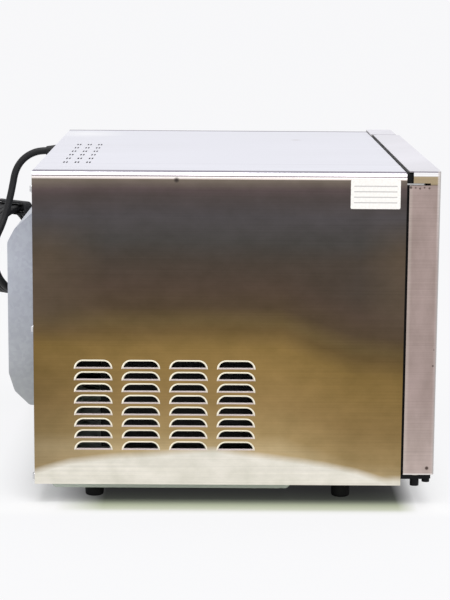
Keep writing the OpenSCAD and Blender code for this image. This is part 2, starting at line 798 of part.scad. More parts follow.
// serpentine sheathed heater in a level plane, both ends leaving through the right wall
module heater(z) {
    bend_r = heater_pitch / 2;
    for (k = [0:heater_runs - 1]) {
        y = heater_y0 + k * heater_pitch;
        outer = k == 0 || k == heater_runs - 1;
        rod_x(y, z, heater_r, heater_x0, outer ? heater_end_x : heater_x1);
    }
    for (k = [0:heater_runs - 2]) {
        even = k % 2 == 0;
        translate([even ? heater_x0 : heater_x1, heater_y0 + (k + 0.5) * heater_pitch, z])
            rotate([0, 0, even ? 90 : -90])
                rotate_extrude(angle = 180, $fn = 32)
                    translate([bend_r, 0]) circle(heater_r, $fn = 24);
    }
}

module upper_heater() { color("#5a5550") heater(ch_z1 - heater_gap); }
module lower_heater() { color("#5a5550") heater(ch_z0 + heater_gap); }

// ceramic beads and threaded studs on the ends of the heater tubes
module heater_terminals() {
    color("white")
    for (z = [ch_z0 + heater_gap, ch_z1 - heater_gap], k = [0, heater_runs - 1]) {
        y = heater_y0 + k * heater_pitch;
        rod_x(y, z, heater_r + 1.2, heater_end_x, heater_end_x + 8);
        rod_x(y, z, 2, heater_end_x + 8, heater_end_x + terminal_l);
    }
}

// sheathed probe through the right wall, with its fitting outside the wall
module thermocouple() {
    color("silver") {
        rod_x(probe_y, probe_z, probe_r, ch_x1 - probe_reach, heater_end_x + terminal_l);
        translate([ch_x1 - probe_reach, probe_y, probe_z]) sphere(probe_r, $fn = 24);
        rod_x(probe_y, probe_z, probe_nut_r, ch_x1 + liner_t, ch_x1 + liner_t + 9);
    }
}

// ---- circulation fan, motor and flue ----

// radial impeller: back plate, hub and straight blades, the bore fixed on the shaft
module circulation_fan() {
    color("silver")
    translate([ch_xm, 0, ch_zm])
    difference() {
        union() {
            rod_y(0, 0, fan_r, fan_y1 - fan_plate_t, fan_y1);
            rod_y(0, 0, shaft_r + 5, fan_y0, fan_y1);
            for (k = [0:fan_blades - 1])
                rotate([0, k * 360 / fan_blades, 0])
                    translate([fan_r * 0.58, fan_y0, 0]) rotate([0, 16, 0])
                        cube([fan_r * 0.38, fan_blade_d + 0.5, 1]);
        }
        rod_y(0, 0, shaft_r, fan_y0 - 1, fan_y1 + 1);
    }
}

// stepped shaft from the impeller through the motor to its cooling blade
module fan_shaft() {
    color("gray")
    rod_y(ch_xm, ch_zm, shaft_r, shaft_y0, shaft_y1);
}

// small bladed wheel on the motor's rear end
module motor_cooling_blade() {
    y0 = motor_y1 + blade_gap;
    color("gainsboro")
    translate([ch_xm, 0, ch_zm])
    difference() {
        union() {
            rod_y(0, 0, shaft_r + 3, y0, y0 + motor_blade_l);
            for (k = [0:4])
                rotate([0, k * 72, 0])
                    translate([shaft_r, y0 + 1, 0]) rotate([-24, 0, 0])
                        cube([motor_r - shaft_r - 3, 1, 13], center = false);
        }
        rod_y(0, 0, shaft_r, y0 - 1, y0 + motor_blade_l + 1);
    }
}

// motor can with end bells and a lamination band
module fan_motor() {
    color("slategray")
    translate([ch_xm, 0, ch_zm])
    difference() {
        union() {
            rod_y(0, 0, motor_r - 4, motor_y0, motor_y1);
            rod_y(0, 0, motor_r, motor_y0 + motor_l * 0.25, motor_y0 + motor_l * 0.75);
            rod_y(0, 0, shaft_r + 6, motor_y0, motor_y1 + 1.5);
        }
        rod_y(0, 0, shaft_r + run_gap, motor_y0 - 1, motor_y1 + 3);
        for (k = [0:11])
            rotate([0, k * 30, 0])
                rod_y(motor_r - 8, 0, 2, motor_y1 - 6, motor_y1 + 1);
    }
}

// hat-shaped strap that carries the motor from the rear panel
module motor_bracket() {
    y1 = wrap_rear - sheet_t;
    foot_w = 12;
    strap_h = 90;
    cut_w = 40;
    cut_h = 50;
    cut_in = 40;
    x0 = cov_x0 + 6;
    x1 = cov_x1 - 6;
    z0 = ch_zm - strap_h / 2;
    z1 = z0 + strap_h;
    color("silver")
    difference() {
        union() {
            box(x0, x1, bracket_y, bracket_y + bracket_t, z0, z1);
            for (x = [x0, x1 - bracket_t])
                box(x, x + bracket_t, bracket_y, y1, z0, z1);
            box(x0 - foot_w, x0 + bracket_t, y1 - bracket_t, y1, z0, z1);
            box(x1 - bracket_t, x1 + foot_w, y1 - bracket_t, y1, z0, z1);
        }
        rod_y(ch_xm, ch_zm, shaft_r + 4, bracket_y - 1, bracket_y + bracket_t + 1);
        for (x = [x0 + cut_in, x1 - cut_in - cut_w])
            along_y(bracket_y - 1, bracket_y + bracket_t + 1)
                translate([x, ch_zm - cut_h / 2]) round_rect(cut_w, cut_h, 8);
    }
}

// flue from the plenum's ceiling up and back to the vents in the casing's top
module exhaust_duct() {
    t = sheet_t;
    x0 = ch_xm - flue_w / 2 - t;
    x1 = ch_xm + flue_w / 2 + t;
    z0 = ch_z1 + liner_t;
    z1 = cab_top - sheet_t - 2;
    y0 = flue_y0 - t;
    y1 = wrap_rear - frame_flange - 8;
    knee = z1 - 22;
    color("silver")
    difference() {
        along_x(x0, x1)
            polygon([[y0, z0], [flue_y1 + t, z0], [flue_y1 + t, knee], [y1, knee], [y1, z1],
                     [y0, z1]]);
        along_x(x0 + t, x1 - t)
            polygon([[y0 + t, z0 - 1], [flue_y1, z0 - 1], [flue_y1, knee + t], [y1 - t, knee + t],
                     [y1 - t, z1 + 1], [vent_front_y, z1 + 1], [vent_front_y, z1 - t],
                     [y0 + t, z1 - t]]);
    }
}

vent_front_y = wrap_rear - vent_rear - vent_groups * vent_group_pitch;

// ---- electronics bay ----

module bay_fan_frame() {
    y1 = wrap_rear - sheet_t;
    y0 = y1 - bay_fan_d;
    half = bay_fan_w / 2;
    color("#202020")
    difference() {
        along_y(y0, y1)
            translate([bay_fan_x - half, bay_fan_z - half]) round_rect(bay_fan_w, bay_fan_w, 4);
        difference() {
            rod_y(bay_fan_x, bay_fan_z, half - 2, y0 - 1, y1 + 1);
            rod_y(bay_fan_x, bay_fan_z, bay_fan_hub, y0 - 2, y0 + 2);
            for (a = [30, 150, 270])
                translate([bay_fan_x, y0 + 1, bay_fan_z]) rotate([0, a, 0])
                    translate([0, -1, -2]) cube([half + 1, 2, 4]);
        }
        for (sx = [-1, 1], sz = [-1, 1])
            rod_y(bay_fan_x + sx * (half - 5), bay_fan_z + sz * (half - 5), 2.2, y0 - 1, y1 + 1);
        rod_y(bay_fan_x, bay_fan_z, 1.5 + run_gap, y0 - 1, y0 + 3);
    }
}

module bay_fan_rotor() {
    y0 = wrap_rear - sheet_t - bay_fan_d + 2 + move_gap;
    y1 = wrap_rear - sheet_t - 2;
    color("#303030")
    translate([bay_fan_x, 0, bay_fan_z]) {
        rod_y(0, 0, bay_fan_hub, y0, y1);
        rod_y(0, 0, 1.5, y0 - 2, y0 + 1);
        for (k = [0:6])
            rotate([0, k * 360 / 7, 0])
                translate([bay_fan_hub - 1, (y0 + y1) / 2, 0]) rotate([40, 0, 0])
                    translate([0, -0.6, -bay_blade_w / 2])
                        cube([bay_fan_w / 2 - 3.5 - bay_fan_hub, 1.2, bay_blade_w]);
    }
}

// mains board on standoffs from the casing's floor: transformer, terminal block and capacitors
module power_board() {
    x0 = bay_x0 + 6;
    x1 = inner_right - bay_edge;
    y0 = wrap_mid - mains_board_l / 2;
    y1 = y0 + mains_board_l;
    floor_z = cab_z + 2 * sheet_t;
    z = floor_z + standoff_h + board_t;
    coil_w = 38;
    coil_l = 42;
    coil_h = 32.4;
    block_l = 12;
    block_h = 12.4;
    can_r = 5;
    can_h = 18;
    can_pitch = 14;
    color("#1f5a3a") box(x0, x1, y0, y1, z - board_t, z);
    color("silver")
    for (x = [x0 + hole_in, x1 - hole_in], y = [y0 + hole_in, y1 - hole_in])
        translate([x, y, floor_z]) cylinder(r = 3, h = standoff_h, $fn = 24);
    color("goldenrod")
        box(x0 + 8, x0 + 8 + coil_w, y0 + 10, y0 + 10 + coil_l, z, z + coil_h);
    color("#335533") box(x0 + 8, x1 - 8, y1 - 6 - block_l, y1 - 6, z, z + block_h);
    color("#222222")
    for (i = [0:2])
        translate([x0 + can_pitch * (i + 1), y0 + 16 + coil_l + 4 * can_r, z])
            cylinder(r = can_r, h = can_h, $fn = 24);
}

// finned block on the bay's floor with two solid-state relays on its side
module relay_heatsink() {
    x0 = sink_x0;
    y0 = wrap_front + sink_back;
    z0 = cab_z + 2 * sheet_t;
    fins = 7;
    fin_pitch = 11;
    web = 36;
    color("gray")
    difference() {
        box(x0, x0 + sink_w, y0, y0 + sink_l, z0, z0 + sink_h);
        for (i = [0:fins - 2])
            box(x0 - 1, x0 + web, y0 + 6 + i * fin_pitch, y0 + 12 + i * fin_pitch,
                z0 + 4, z0 + sink_h + 1);
    }
    color("#e8e4d8")
    for (y = [y0 + 6, y0 + 42])
        box(x0 + sink_w, x0 + sink_w + relay_t, y, y + relay_w, z0 + 2, z0 + sink_h - 2);
}

// ---- door ----

// folded stainless tray: face, sides, top and bottom turned back, window cut in the face
module door_skin() {
    color("silver")
    difference() {
        skin_block(0, door_face, door_rear);
        skin_block(skin_t, door_face + skin_t, door_rear + 1);
        along_y(door_face - 1, door_face + skin_t + 1)
            translate([win_x, win_z]) round_rect(window_w, window_h, window_r);
        hinge_slot(left - 1);
        // the corner tabs stop short of the rear edge
        for (x = [left - 1, door_right - skin_t - 1])
            box(x, x + skin_t + 2, door_rear - ear_back, door_rear + 1, slot_z1, door_top + 1);
        // open corner below, for the lower bush
        translate([hinge_x, hinge_y, door_z - 1])
            cylinder(r = pin_r + bush_wall + fit_gap, h = 4);
        for (z = handle_ends)
            rod_y(handle_x, z, post_screw_r + touch, door_face - 1, door_face + skin_t + 1);
    }
}

// the door's outer form, drawn in by g on every side, with rounded long edges at the front
module skin_block(g, y0, y1) {
    r = skin_bend_r - g;
    translate([0, 0, door_z + g])
        linear_extrude(door_h - 2 * g)
            translate([left + g, 0]) {
                translate([r, y0]) square([door_w - 2 * g - 2 * r, y1 - y0]);
                translate([0, y0 + r]) square([door_w - 2 * g, y1 - y0 - r]);
                for (x = [r, door_w - 2 * g - r])
                    translate([x, y0 + r]) circle(r);
            }
}

handle_x = door_right - handle_in;
handle_y = door_face - handle_reach + handle_r;
handle_zm = (door_z + door_top) / 2;
handle_post_in = 16;
post_r = 4.5;
post_in = 2.2;               // depth of a post's seat in the bar
post_foot_r = 6;
post_foot_t = 2;
post_screw_r = 2.5;
post_screw_l = 6;
handle_ends = [handle_zm - handle_l / 2 + handle_post_in, handle_zm + handle_l / 2 - handle_post_in];

// path that the upper hinge arm sweeps through the door's corner
module hinge_slot(x0) {
    box(x0, hinge_x + 9, door_rear - slot_l, door_rear + 5, slot_z0, slot_z1);
}

// moulded frame that closes the back of the door
module door_inner_frame() {
    x0 = left + frame_in;
    w = door_w - frame_in - skin_t - fit_gap;
    z0 = door_z + skin_t + fit_gap;
    h = door_h - 2 * skin_t - 2 * fit_gap;
    wall = 2;
    gx = win_x - glass_lap;
    gz = win_z - glass_lap;
    gw = window_w + 2 * glass_lap;
    gh = window_h + 2 * glass_lap;
    front = outer_glass_y + glass_t + fit_gap;
    color("#161616")
    difference() {
        along_y(front, frame_rear)
            translate([x0, z0]) round_rect(w, h, 3);
        // hollow between the rim and the window's tunnel
        difference() {
            along_y(front - 1, frame_rear - frame_back_t)
                translate([x0 + wall, z0 + wall]) round_rect(w - 2 * wall, h - 2 * wall, 2);
            along_y(front - 2, frame_rear)
                translate([gx - wall, gz - wall]) round_rect(gw + 2 * wall, gh + 2 * wall, 5);
            hinge_blocks(front - 2);
        }
        // tunnel behind the window, and the rebate of the inner pane
        along_y(front - 1, frame_rear + 1)
            translate([win_x, win_z]) round_rect(window_w, window_h, window_r);
        along_y(inner_glass_y - fit_gap, inner_glass_y + glass_t + fit_gap)
            translate([gx, gz]) round_rect(gw, gh, 4);
        along_y(front - 1, inner_glass_y)
            translate([gx, gz]) round_rect(gw, gh, 4);
        hinge_slot(x0 - 1);
        for (z = [[door_z - 1, door_z + 22], [slot_z0 - 14, slot_z1 + 1]])
            translate([hinge_x, hinge_y, z[0]])
                cylinder(r = top_pin_r + bush_wall + (z[0] < door_z ? pin_r - top_pin_r : 0),
                         h = z[1] - z[0]);
        magnet_pockets();
    }
}

// solid blocks in the frame's corners that hold the hinge bushes
module hinge_blocks(y0) {
    x1 = hinge_x + pin_r + bush_wall + 3;
    box(left, x1, y0, frame_rear, door_z, door_z + 22);
    box(left, x1, y0, frame_rear, slot_z0 - 14, slot_z0);
}

magnet_x = door_right - 12;
magnet_r = 5;
magnet_out = 0.4;
magnet_in = 1.5;
magnet_zs = [door_z + door_h * 0.3, door_z + door_h * 0.7];

module magnet_pockets() {
    for (z = magnet_zs)
        rod_y(magnet_x, z, magnet_r, frame_rear - magnet_in, frame_rear + 1);
}

// pair of disc magnets let into the frame's free edge
module latch_magnets() {
    color("gray")
    for (z = magnet_zs)
        rod_y(magnet_x, z, magnet_r, frame_rear - magnet_in, frame_rear + magnet_out);
}

module pane(y, lap) {
    along_y(y, y + glass_t)
        translate([win_x - lap, win_z - lap])
            round_rect(window_w + 2 * lap, window_h + 2 * lap, 4);
}

module outer_glass() { color("#2a3036") pane(outer_glass_y, glass_lap - fit_gap); }
module inner_glass() { color("#2a3036") pane(inner_glass_y, glass_lap - fit_gap); }

// seal that bears on the front frame all round the chamber's mouth
module door_gasket() {
    inside = 4;
    d = 6;
    m = inside + d;
    color("#b5563c")
    difference() {
        along_y(frame_rear, frame_y - move_gap)
            translate([ch_x0 - m, ch_z0 - m])
                round_rect(chamber_w + 2 * m, chamber_h + 2 * m, chamber_r + m);
        along_y(frame_rear - 1, frame_y + 1)
            translate([ch_x0 - inside, ch_z0 - inside])
                round_rect(chamber_w + 2 * inside, chamber_h + 2 * inside, chamber_r + inside);
    }
}

module ring(r0, r1, h) {
    difference() {
        cylinder(r = r1, h = h);
        translate([0, 0, -1]) cylinder(r = r0, h = h + 2);
    }
}

// plain bushes the pins turn in: the lower one flanged, it carries the door on the plate
module hinge_bushes() {
    color("#d8d2c0")
    translate([hinge_x, hinge_y, 0]) {
        translate([0, 0, plate_z + hinge_plate_t + 0.3])
            ring(pin_r + run_gap, pin_r + bush_wall, low_bush_l);
        translate([0, 0, slot_z0 - top_bush_l])
            ring(top_pin_r + run_gap, top_pin_r + bush_wall, top_bush_l);
    }
}

module handle_posts() {
    color("gray")
    for (z = handle_ends) {
        rod_y(handle_x, z, post_r, handle_y + handle_r - post_in, door_face);
        rod_y(handle_x, z, post_foot_r, door_face - post_foot_t, door_face);
        rod_y(handle_x, z, post_screw_r, door_face - 1, door_face + skin_t + post_screw_l);
    }
}

// round bar with domed ends, drilled flat for its two posts
module handle_bar() {
    z0 = handle_zm - handle_l / 2;
    color("silver")
    difference() {
        translate([handle_x, handle_y, 0]) {
            translate([0, 0, z0 + 2]) cylinder(r = handle_r, h = handle_l - 4);
            for (z = [z0, z0 + handle_l - 2])
                translate([0, 0, z]) cylinder(r = handle_r - 1, h = 2);
        }
        for (z = handle_ends)
            rod_y(handle_x, z, post_r + touch, handle_y + handle_r - post_in, door_face);
    }
}

// ---- hinge ----

// plate under the door, turned up behind the front frame, with its stop screw
module lower_hinge_plate() {
    back = frame_y - touch;
    color("#1a1a1a")
    difference() {
        union() {
            translate([hinge_x, hinge_y - 11.5, plate_z]) cylinder(r = 5, h = hinge_plate_t);
            box(hinge_x - 5, hinge_x + 5, hinge_y - 11.5, back, plate_z, plate_z + hinge_plate_t);
            box(hinge_x - 5, hinge_x + 26, hinge_y + 4, back, plate_z, plate_z + hinge_plate_t);
            box(hinge_x - 5, hinge_x + 26, back - 1.2, back, plate_z, door_z + 2);
            translate([hinge_x, hinge_y - 11.5, plate_z - 3.6]) cylinder(r = 4, h = 4);
        }
        translate([hinge_x, hinge_y, plate_z - 1]) cylinder(r = pin_r, h = hinge_plate_t + 2);
    }
}

// headed pin standing on the lower plate
module lower_hinge_pin() {
    color("#1a1a1a")
    translate([hinge_x, hinge_y, 0]) {
        translate([0, 0, plate_z]) cylinder(r = pin_r, h = door_z + 18 - plate_z);
        translate([0, 0, plate_z - 7.5]) cylinder(r = pin_r + 0.6, h = 7.5);
    }
}

// arm from the front frame into the slot of the door's upper corner
module upper_hinge_arm() {
    back = frame_y - touch;
    color("#1a1a1a") {
        translate([hinge_x, hinge_y, arm_z]) cylinder(r = 5, h = hinge_arm_t);
        box(hinge_x - 5, hinge_x + 5, hinge_y, back, arm_z, arm_z + hinge_arm_t);
        box(hinge_x - 5, hinge_x + 5, back - 1, back, arm_z - 14, arm_z + hinge_arm_t);
    }
}

module upper_hinge_pin() {
    color("gray")
    translate([hinge_x, hinge_y, slot_z0 - 10]) cylinder(r = top_pin_r, h = arm_z - slot_z0 + 10);
}

// ---- control panel ----

function button_x(i) = panel_mid + (i % button_cols - (button_cols - 1) / 2) * button_pitch;
function button_row_z(i) = button_z - floor(i / button_cols) * button_pitch;
button_count = button_rows * button_cols;

// stainless housing beside the door with its openings
module control_fascia() {
    color("gainsboro")
    difference() {
        fascia_block(0, panel_face, wrap_front - fit_gap);
        fascia_block(skin_t + 0.5, panel_face + fascia_t, frame_y + 1);
        along_y(panel_face - 1, panel_face + fascia_t + 1)
            translate([panel_mid - display_w / 2, display_z - display_h / 2])
                round_rect(display_w, display_h, 3);
        for (i = [0:button_count - 1])
            rod_y(button_x(i), button_row_z(i), button_d / 2 + move_gap,
                  panel_face - 1, panel_face + fascia_t + 1);
        rod_y(panel_mid, knob_z, knob_shaft_r + run_gap, panel_face - 1, panel_face + fascia_t + 1);
        along_y(panel_face - 1, panel_face + fascia_t + 1)
            translate([panel_mid - rocker_w / 2, rocker_z - rocker_h / 2])
                square([rocker_w, rocker_h]);
    }
    // tabs that reach the front frame inside the casing
    color("gainsboro")
    for (x = [panel_x0 + skin_t, inner_right - fit_gap - frame_t], z = panel_tabs)
        box(x, x + frame_t, panel_face + 12, frame_y - touch, z, z + panel_tab_h);
}

panel_tab_h = 40;
panel_tab_in = 40;           // from the panel's ends to its tabs
panel_tabs = [panel_z0 + panel_tab_in, panel_z1 - panel_tab_in - panel_tab_h];

module fascia_block(g, y0, y1) {
    r = skin_bend_r - g;
    w = panel_w;
    translate([0, 0, panel_z0 + g])
        linear_extrude(panel_z1 - panel_z0 - 2 * g)
            translate([panel_x0 + g, 0]) {
                translate([r, y0]) square([w - 2 * g - 2 * r, y1 - y0]);
                translate([0, y0 + r]) square([w - 2 * g, y1 - y0 - r]);
                for (x = [r, w - 2 * g - r])
                    translate([x, y0 + r]) circle(r);
            }
}

// board behind the fascia: display module, key switches, encoder and standoffs
module control_board() {
    x0 = panel_x0 + 6;
    x1 = right - 6;
    z0 = knob_z - board_under;
    z1 = display_z + display_h / 2 + board_over;
    color("#1f5a3a")
    difference() {
        box(x0, x1, board_y, board_y + board_t, z0, z1);
        for (z = [z0 + hole_in, z1 - hole_in], x = [x0 + hole_in, x1 - hole_in])
            rod_y(x, z, stud_r + touch, board_y - 1, board_y + board_t + 1);
    }
    color("silver")
    for (z = [z0 + hole_in, z1 - hole_in], x = [x0 + hole_in, x1 - hole_in])
        rod_y(x, z, stud_r, panel_face + fascia_t, board_y + 1);
    color("#303030") {
        box(panel_mid - display_w / 2 - 2, panel_mid + display_w / 2 + 2,
            panel_face + fascia_t + 3, board_y, display_z - display_h / 2 - 2,
            display_z + display_h / 2 + 2);
        for (i = [0:button_count - 1])
            box(button_x(i) - key_w / 2, button_x(i) + key_w / 2, board_y - key_t, board_y,
                button_row_z(i) - key_w / 2, button_row_z(i) + key_w / 2);
        difference() {
            box(panel_mid - encoder_w / 2, panel_mid + encoder_w / 2, board_y - encoder_t, board_y,
                knob_z - encoder_w / 2, knob_z + encoder_w / 2);
            rod_y(panel_mid, knob_z, knob_shaft_r + run_gap, board_y - encoder_t - 1, board_y - 1);
        }
    }
}

module display_window() {
    color("#0c1418")
    along_y(panel_face + 0.4, panel_face + fascia_t + 3)
        translate([panel_mid - display_w / 2 + fit_gap, display_z - display_h / 2 + fit_gap])
            round_rect(display_w - 2 * fit_gap, display_h - 2 * fit_gap, 3 - fit_gap);
}

// push button: domed cap and a stem that ends above its key switch
module push_button(i) {
    r = button_d / 2;
    color(i == 0 ? "#3f8f4f" : i == 1 ? "#b23a34" : "#e4e4e0") {
        rod_y(button_x(i), button_row_z(i), r, button_face + 0.8, panel_face + fascia_t - 0.2);
        rod_y(button_x(i), button_row_z(i), r - 0.8, button_face, button_face + 1);
        rod_y(button_x(i), button_row_z(i), 2, panel_face + fascia_t - 1,
              board_y - key_t - button_travel - 0.3);
    }
}

module button_1() { push_button(0); }
module button_2() { push_button(1); }
module button_3() { push_button(2); }
module button_4() { push_button(3); }
module button_5() { push_button(4); }
module button_6() { push_button(5); }

// fluted knob with its shaft running through the fascia into the encoder
module setting_knob() {
    y1 = panel_face - 0.6;
    y0 = y1 - knob_l;
    color("#262626") {
        difference() {
            union() {
                rod_y(panel_mid, knob_z, knob_d / 2, y0 + 2, y1);
                rod_y(panel_mid, knob_z, knob_d / 2 - 1.5, y0, y0 + 3);
            }
            for (k = [0:17])
                translate([panel_mid, 0, knob_z]) rotate([0, k * 20, 0])
                    rod_y(knob_d / 2 + 1.2, 0, 2.2, y0 - 1, y1 - 3);
            box(panel_mid - 0.7, panel_mid + 0.7, y0 - 1, y0 + 0.6, knob_z + 5,
                knob_z + knob_d / 2 - 2);
        }
        rod_y(panel_mid, knob_z, knob_shaft_r, y1 - 2, board_y - 1.5);
    }
}

rocker_gap = 0.5;
rocker_swing_gap = 2.3;
rocker_wall = 1.6;
rocker_pivot_y = panel_face + 7;
rocker_pin_r = 1.2;

// snap-in housing of the mains rocker
module rocker_housing() {
    w = rocker_w - 2 * fit_gap;
    h = rocker_h - 2 * fit_gap;
    t = rocker_wall;
    color("#141414")
    difference() {
        union() {
            box(panel_mid - rocker_w / 2 - 2, panel_mid + rocker_w / 2 + 2, panel_face - 1.6,
                panel_face, rocker_z - rocker_h / 2 - 2, rocker_z + rocker_h / 2 + 2);
            box(panel_mid - w / 2, panel_mid + w / 2, panel_face - 1, panel_face + 24,
                rocker_z - h / 2, rocker_z + h / 2);
        }
        box(panel_mid - w / 2 + t, panel_mid + w / 2 - t, panel_face - 3, panel_face + 22,
            rocker_z - h / 2 + t, rocker_z + h / 2 - t);
        rod_x(rocker_pivot_y, rocker_z, rocker_pin_r + run_gap, panel_mid - w / 2 - 1,
              panel_mid + w / 2 + 1);
    }
}

// two-faced rocker on its own trunnions
module mains_rocker() {
    w = rocker_w - 2 * fit_gap - 2 * rocker_wall - 2 * rocker_gap;
    h = rocker_h - 2 * fit_gap - 2 * rocker_wall - 2 * rocker_swing_gap;
    y = rocker_pivot_y;
    color("#a8201c") {
        along_x(panel_mid - w / 2, panel_mid + w / 2)
            translate([y, rocker_z])
                polygon([[-10.5, h / 2], [-7.5, 0], [-8.2, -h / 2], [2, -h / 2 + 3],
                         [4, 0], [2, h / 2 - 3]]);
        rod_x(y, rocker_z, rocker_pin_r, panel_mid - w / 2 - rocker_gap - rocker_wall + fit_gap,
              panel_mid + w / 2 + rocker_gap + rocker_wall - fit_gap);
    }
}

// ---- mains lead ----

// ring of points round p, square to the direction t; no stretch of the lead runs along X
function ring_points(p, t, r, n) =
    let (u = unit(cross(t, [1, 0, 0])), v = cross(u, t))
    [for (i = [0:n - 1]) p + r * (cos(i * 360 / n) * u + sin(i * 360 / n) * v)];
function heading(p, i) =
    unit(p[min(i + 1, len(p) - 1)] - p[max(i - 1, 0)]);

// tube swept through the points of a route
module tube(p, r, n = 8) {
    m = len(p);
    points = [for (i = [0:m - 1]) each ring_points(p[i], heading(p, i), r, n)];
    sides = [for (i = [0:m - 2], k = [0:n - 1])
        [i * n + k, i * n + (k + 1) % n, (i + 1) * n + (k + 1) % n, (i + 1) * n + k]];
    polyhedron(concat(points), concat([[for (k = [n - 1:-1:0]) k]], sides,
        [[for (k = [0:n - 1]) (m - 1) * n + k]]));
}

// threaded gland with its nut outside and a tapered boot round the lead
module cord_gland() {
    y = wrap_rear;
    color("#181818")
    translate([gland_x, 0, gland_z])
    rotate([-90, 0, 0])
    difference() {
        union() {
            translate([0, 0, y - 8]) cylinder(r = gland_thread_r, h = 9);
            for (z = [y, y - sheet_t - 5])
                translate([0, 0, z]) cylinder(r = gland_flange_r, h = 5);
            translate([0, 0, y + 5]) cylinder(r1 = 8.5, r2 = 5.6, h = boot_l - 5);
        }
        translate([0, 0, y - 9]) cylinder(r = cord_d / 2 + 0.1, h = 40);
    }
}

module cord_lead() { color("#141414") tube(lead_route, cord_d / 2); }
module cord_tail() { color("#141414") tube(tail_route, cord_d / 2); }

// outer shape of the tied coil
module cord_coil() {
    color("#141414")
    translate(coil_c) rotate([0, 0, coil_turn]) rotate([90, 0, 0])
        rotate_extrude($fn = 48)
            translate([coil_r - coil_wall, -coil_t / 2])
                round_rect(2 * coil_wall, coil_t, coil_wall - 0.1);
}

// mains plug with three pins
module cord_plug() {
    p = tail_route[len(tail_route) - 1];
    color("#141414")
    translate([p.x, p.y, p.z - plug_l]) {
        translate([0, 0, plug_l - 14]) cylinder(r1 = 9, r2 = 5.5, h = 14);
        translate([-plug_w / 2, -13, 6]) cube([plug_w, 26, plug_l - 20]);
    }
    color("silver")
    translate([p.x, p.y, p.z - plug_l])
        for (x = [-7, 0, 7])
            translate([x - 1, x == 0 ? 2 : -4, -12]) cube([2, 4, 18]);
}

outer_wrap();
rear_panel();
rear_fan_cover();
base_pan();
feet();
wrap_screws();
front_frame();
chamber_liner();
ceramic_wool();
air_baffle();
left_rack_rail();
right_rack_rail();
board_rack();
upper_heater();
lower_heater();
heater_terminals();
thermocouple();
circulation_fan();
fan_shaft();
motor_cooling_blade();
fan_motor();
motor_bracket();
exhaust_duct();
bay_fan_frame();
bay_fan_rotor();
power_board();
relay_heatsink();
door_skin();
door_inner_frame();
outer_glass();
inner_glass();
door_gasket();
hinge_bushes();
handle_posts();
handle_bar();
lower_hinge_plate();
lower_hinge_pin();
upper_hinge_arm();
upper_hinge_pin();
latch_magnets();
control_fascia();
control_board();
display_window();
button_1();
button_2();
button_3();
button_4();
button_5();
button_6();
setting_knob();
mains_rocker();
rocker_housing();
cord_gland();
cord_lead();
cord_coil();
cord_tail();
cord_plug();
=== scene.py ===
# Benchtop reflow oven: looks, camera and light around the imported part.
import json
import math

import bpy
import numpy as np
from mathutils import Matrix, Vector


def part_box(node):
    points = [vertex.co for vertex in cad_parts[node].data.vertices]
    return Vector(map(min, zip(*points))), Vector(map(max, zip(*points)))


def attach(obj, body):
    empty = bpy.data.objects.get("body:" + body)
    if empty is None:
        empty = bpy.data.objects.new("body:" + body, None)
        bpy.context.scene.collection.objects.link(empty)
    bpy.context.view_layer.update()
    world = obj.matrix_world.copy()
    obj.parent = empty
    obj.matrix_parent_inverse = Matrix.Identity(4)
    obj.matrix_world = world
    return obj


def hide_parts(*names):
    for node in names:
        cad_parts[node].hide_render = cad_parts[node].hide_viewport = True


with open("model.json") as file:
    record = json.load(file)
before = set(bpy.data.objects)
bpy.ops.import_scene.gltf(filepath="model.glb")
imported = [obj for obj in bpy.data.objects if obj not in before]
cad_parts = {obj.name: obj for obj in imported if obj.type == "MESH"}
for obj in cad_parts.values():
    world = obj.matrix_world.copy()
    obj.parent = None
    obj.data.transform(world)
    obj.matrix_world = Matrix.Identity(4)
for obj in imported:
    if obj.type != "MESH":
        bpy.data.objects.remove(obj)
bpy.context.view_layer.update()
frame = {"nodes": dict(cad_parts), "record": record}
nodes = frame["nodes"]
scene = bpy.context.scene
print("frame loaded:", len(nodes), "nodes")

# camera, beside the left side and a little above it
camera = {
    "place": (-2.13604, 0.02615, 0.53343),   # metres, in the oven's frame
    "yaw": -0.00727,
    "pitch": -0.16983,
    "roll": 0.00697,
    "lens": 113.52,
    "nearest": 0.05,
    "farthest": 60.0,
}


def makeCamera():
    yaw, pitch, roll = camera["yaw"], camera["pitch"], camera["roll"]
    ahead = Vector((math.cos(pitch) * math.cos(yaw), math.cos(pitch) * math.sin(yaw), math.sin(pitch)))
    level = ahead.cross(Vector((0, 0, 1))).normalized()
    upright = level.cross(ahead)
    right = level * math.cos(roll) + upright * math.sin(roll)
    up = upright * math.cos(roll) - level * math.sin(roll)
    data = bpy.data.cameras.new("ovenCamera")
    data.lens = camera["lens"]
    data.clip_start = camera["nearest"]
    data.clip_end = camera["farthest"]
    obj = bpy.data.objects.new("ovenCamera", data)
    scene.collection.objects.link(obj)
    turn = Matrix((right, up, -ahead)).transposed()
    obj.matrix_world = Matrix.Translation(camera["place"]) @ turn.to_4x4()
    scene.camera = obj


makeCamera()


# helpers that add nodes to a tree, most of which give back a socket
def newMaterial(name):
    mat = bpy.data.materials.new(name)
    mat.use_nodes = True
    tree = mat.node_tree
    tree.nodes.clear()
    out = tree.nodes.new("ShaderNodeOutputMaterial")
    shader = tree.nodes.new("ShaderNodeBsdfPrincipled")
    tree.links.new(shader.outputs[0], out.inputs["Surface"])
    return mat, tree, shader


def addNode(tree, kind, **values):
    node = tree.nodes.new(kind)
    for key, value in values.items():
        setattr(node, key, value)
    return node


def plug(tree, source, target):
    # source is a socket, a number or a colour
    if isinstance(source, bpy.types.NodeSocket):
        tree.links.new(source, target)
    else:
        target.default_value = source


def objectCoords(tree):
    return addNode(tree, "ShaderNodeTexCoord").outputs["Object"]


def axes(tree):
    split = addNode(tree, "ShaderNodeSeparateXYZ")
    plug(tree, objectCoords(tree), split.inputs[0])
    return split.outputs


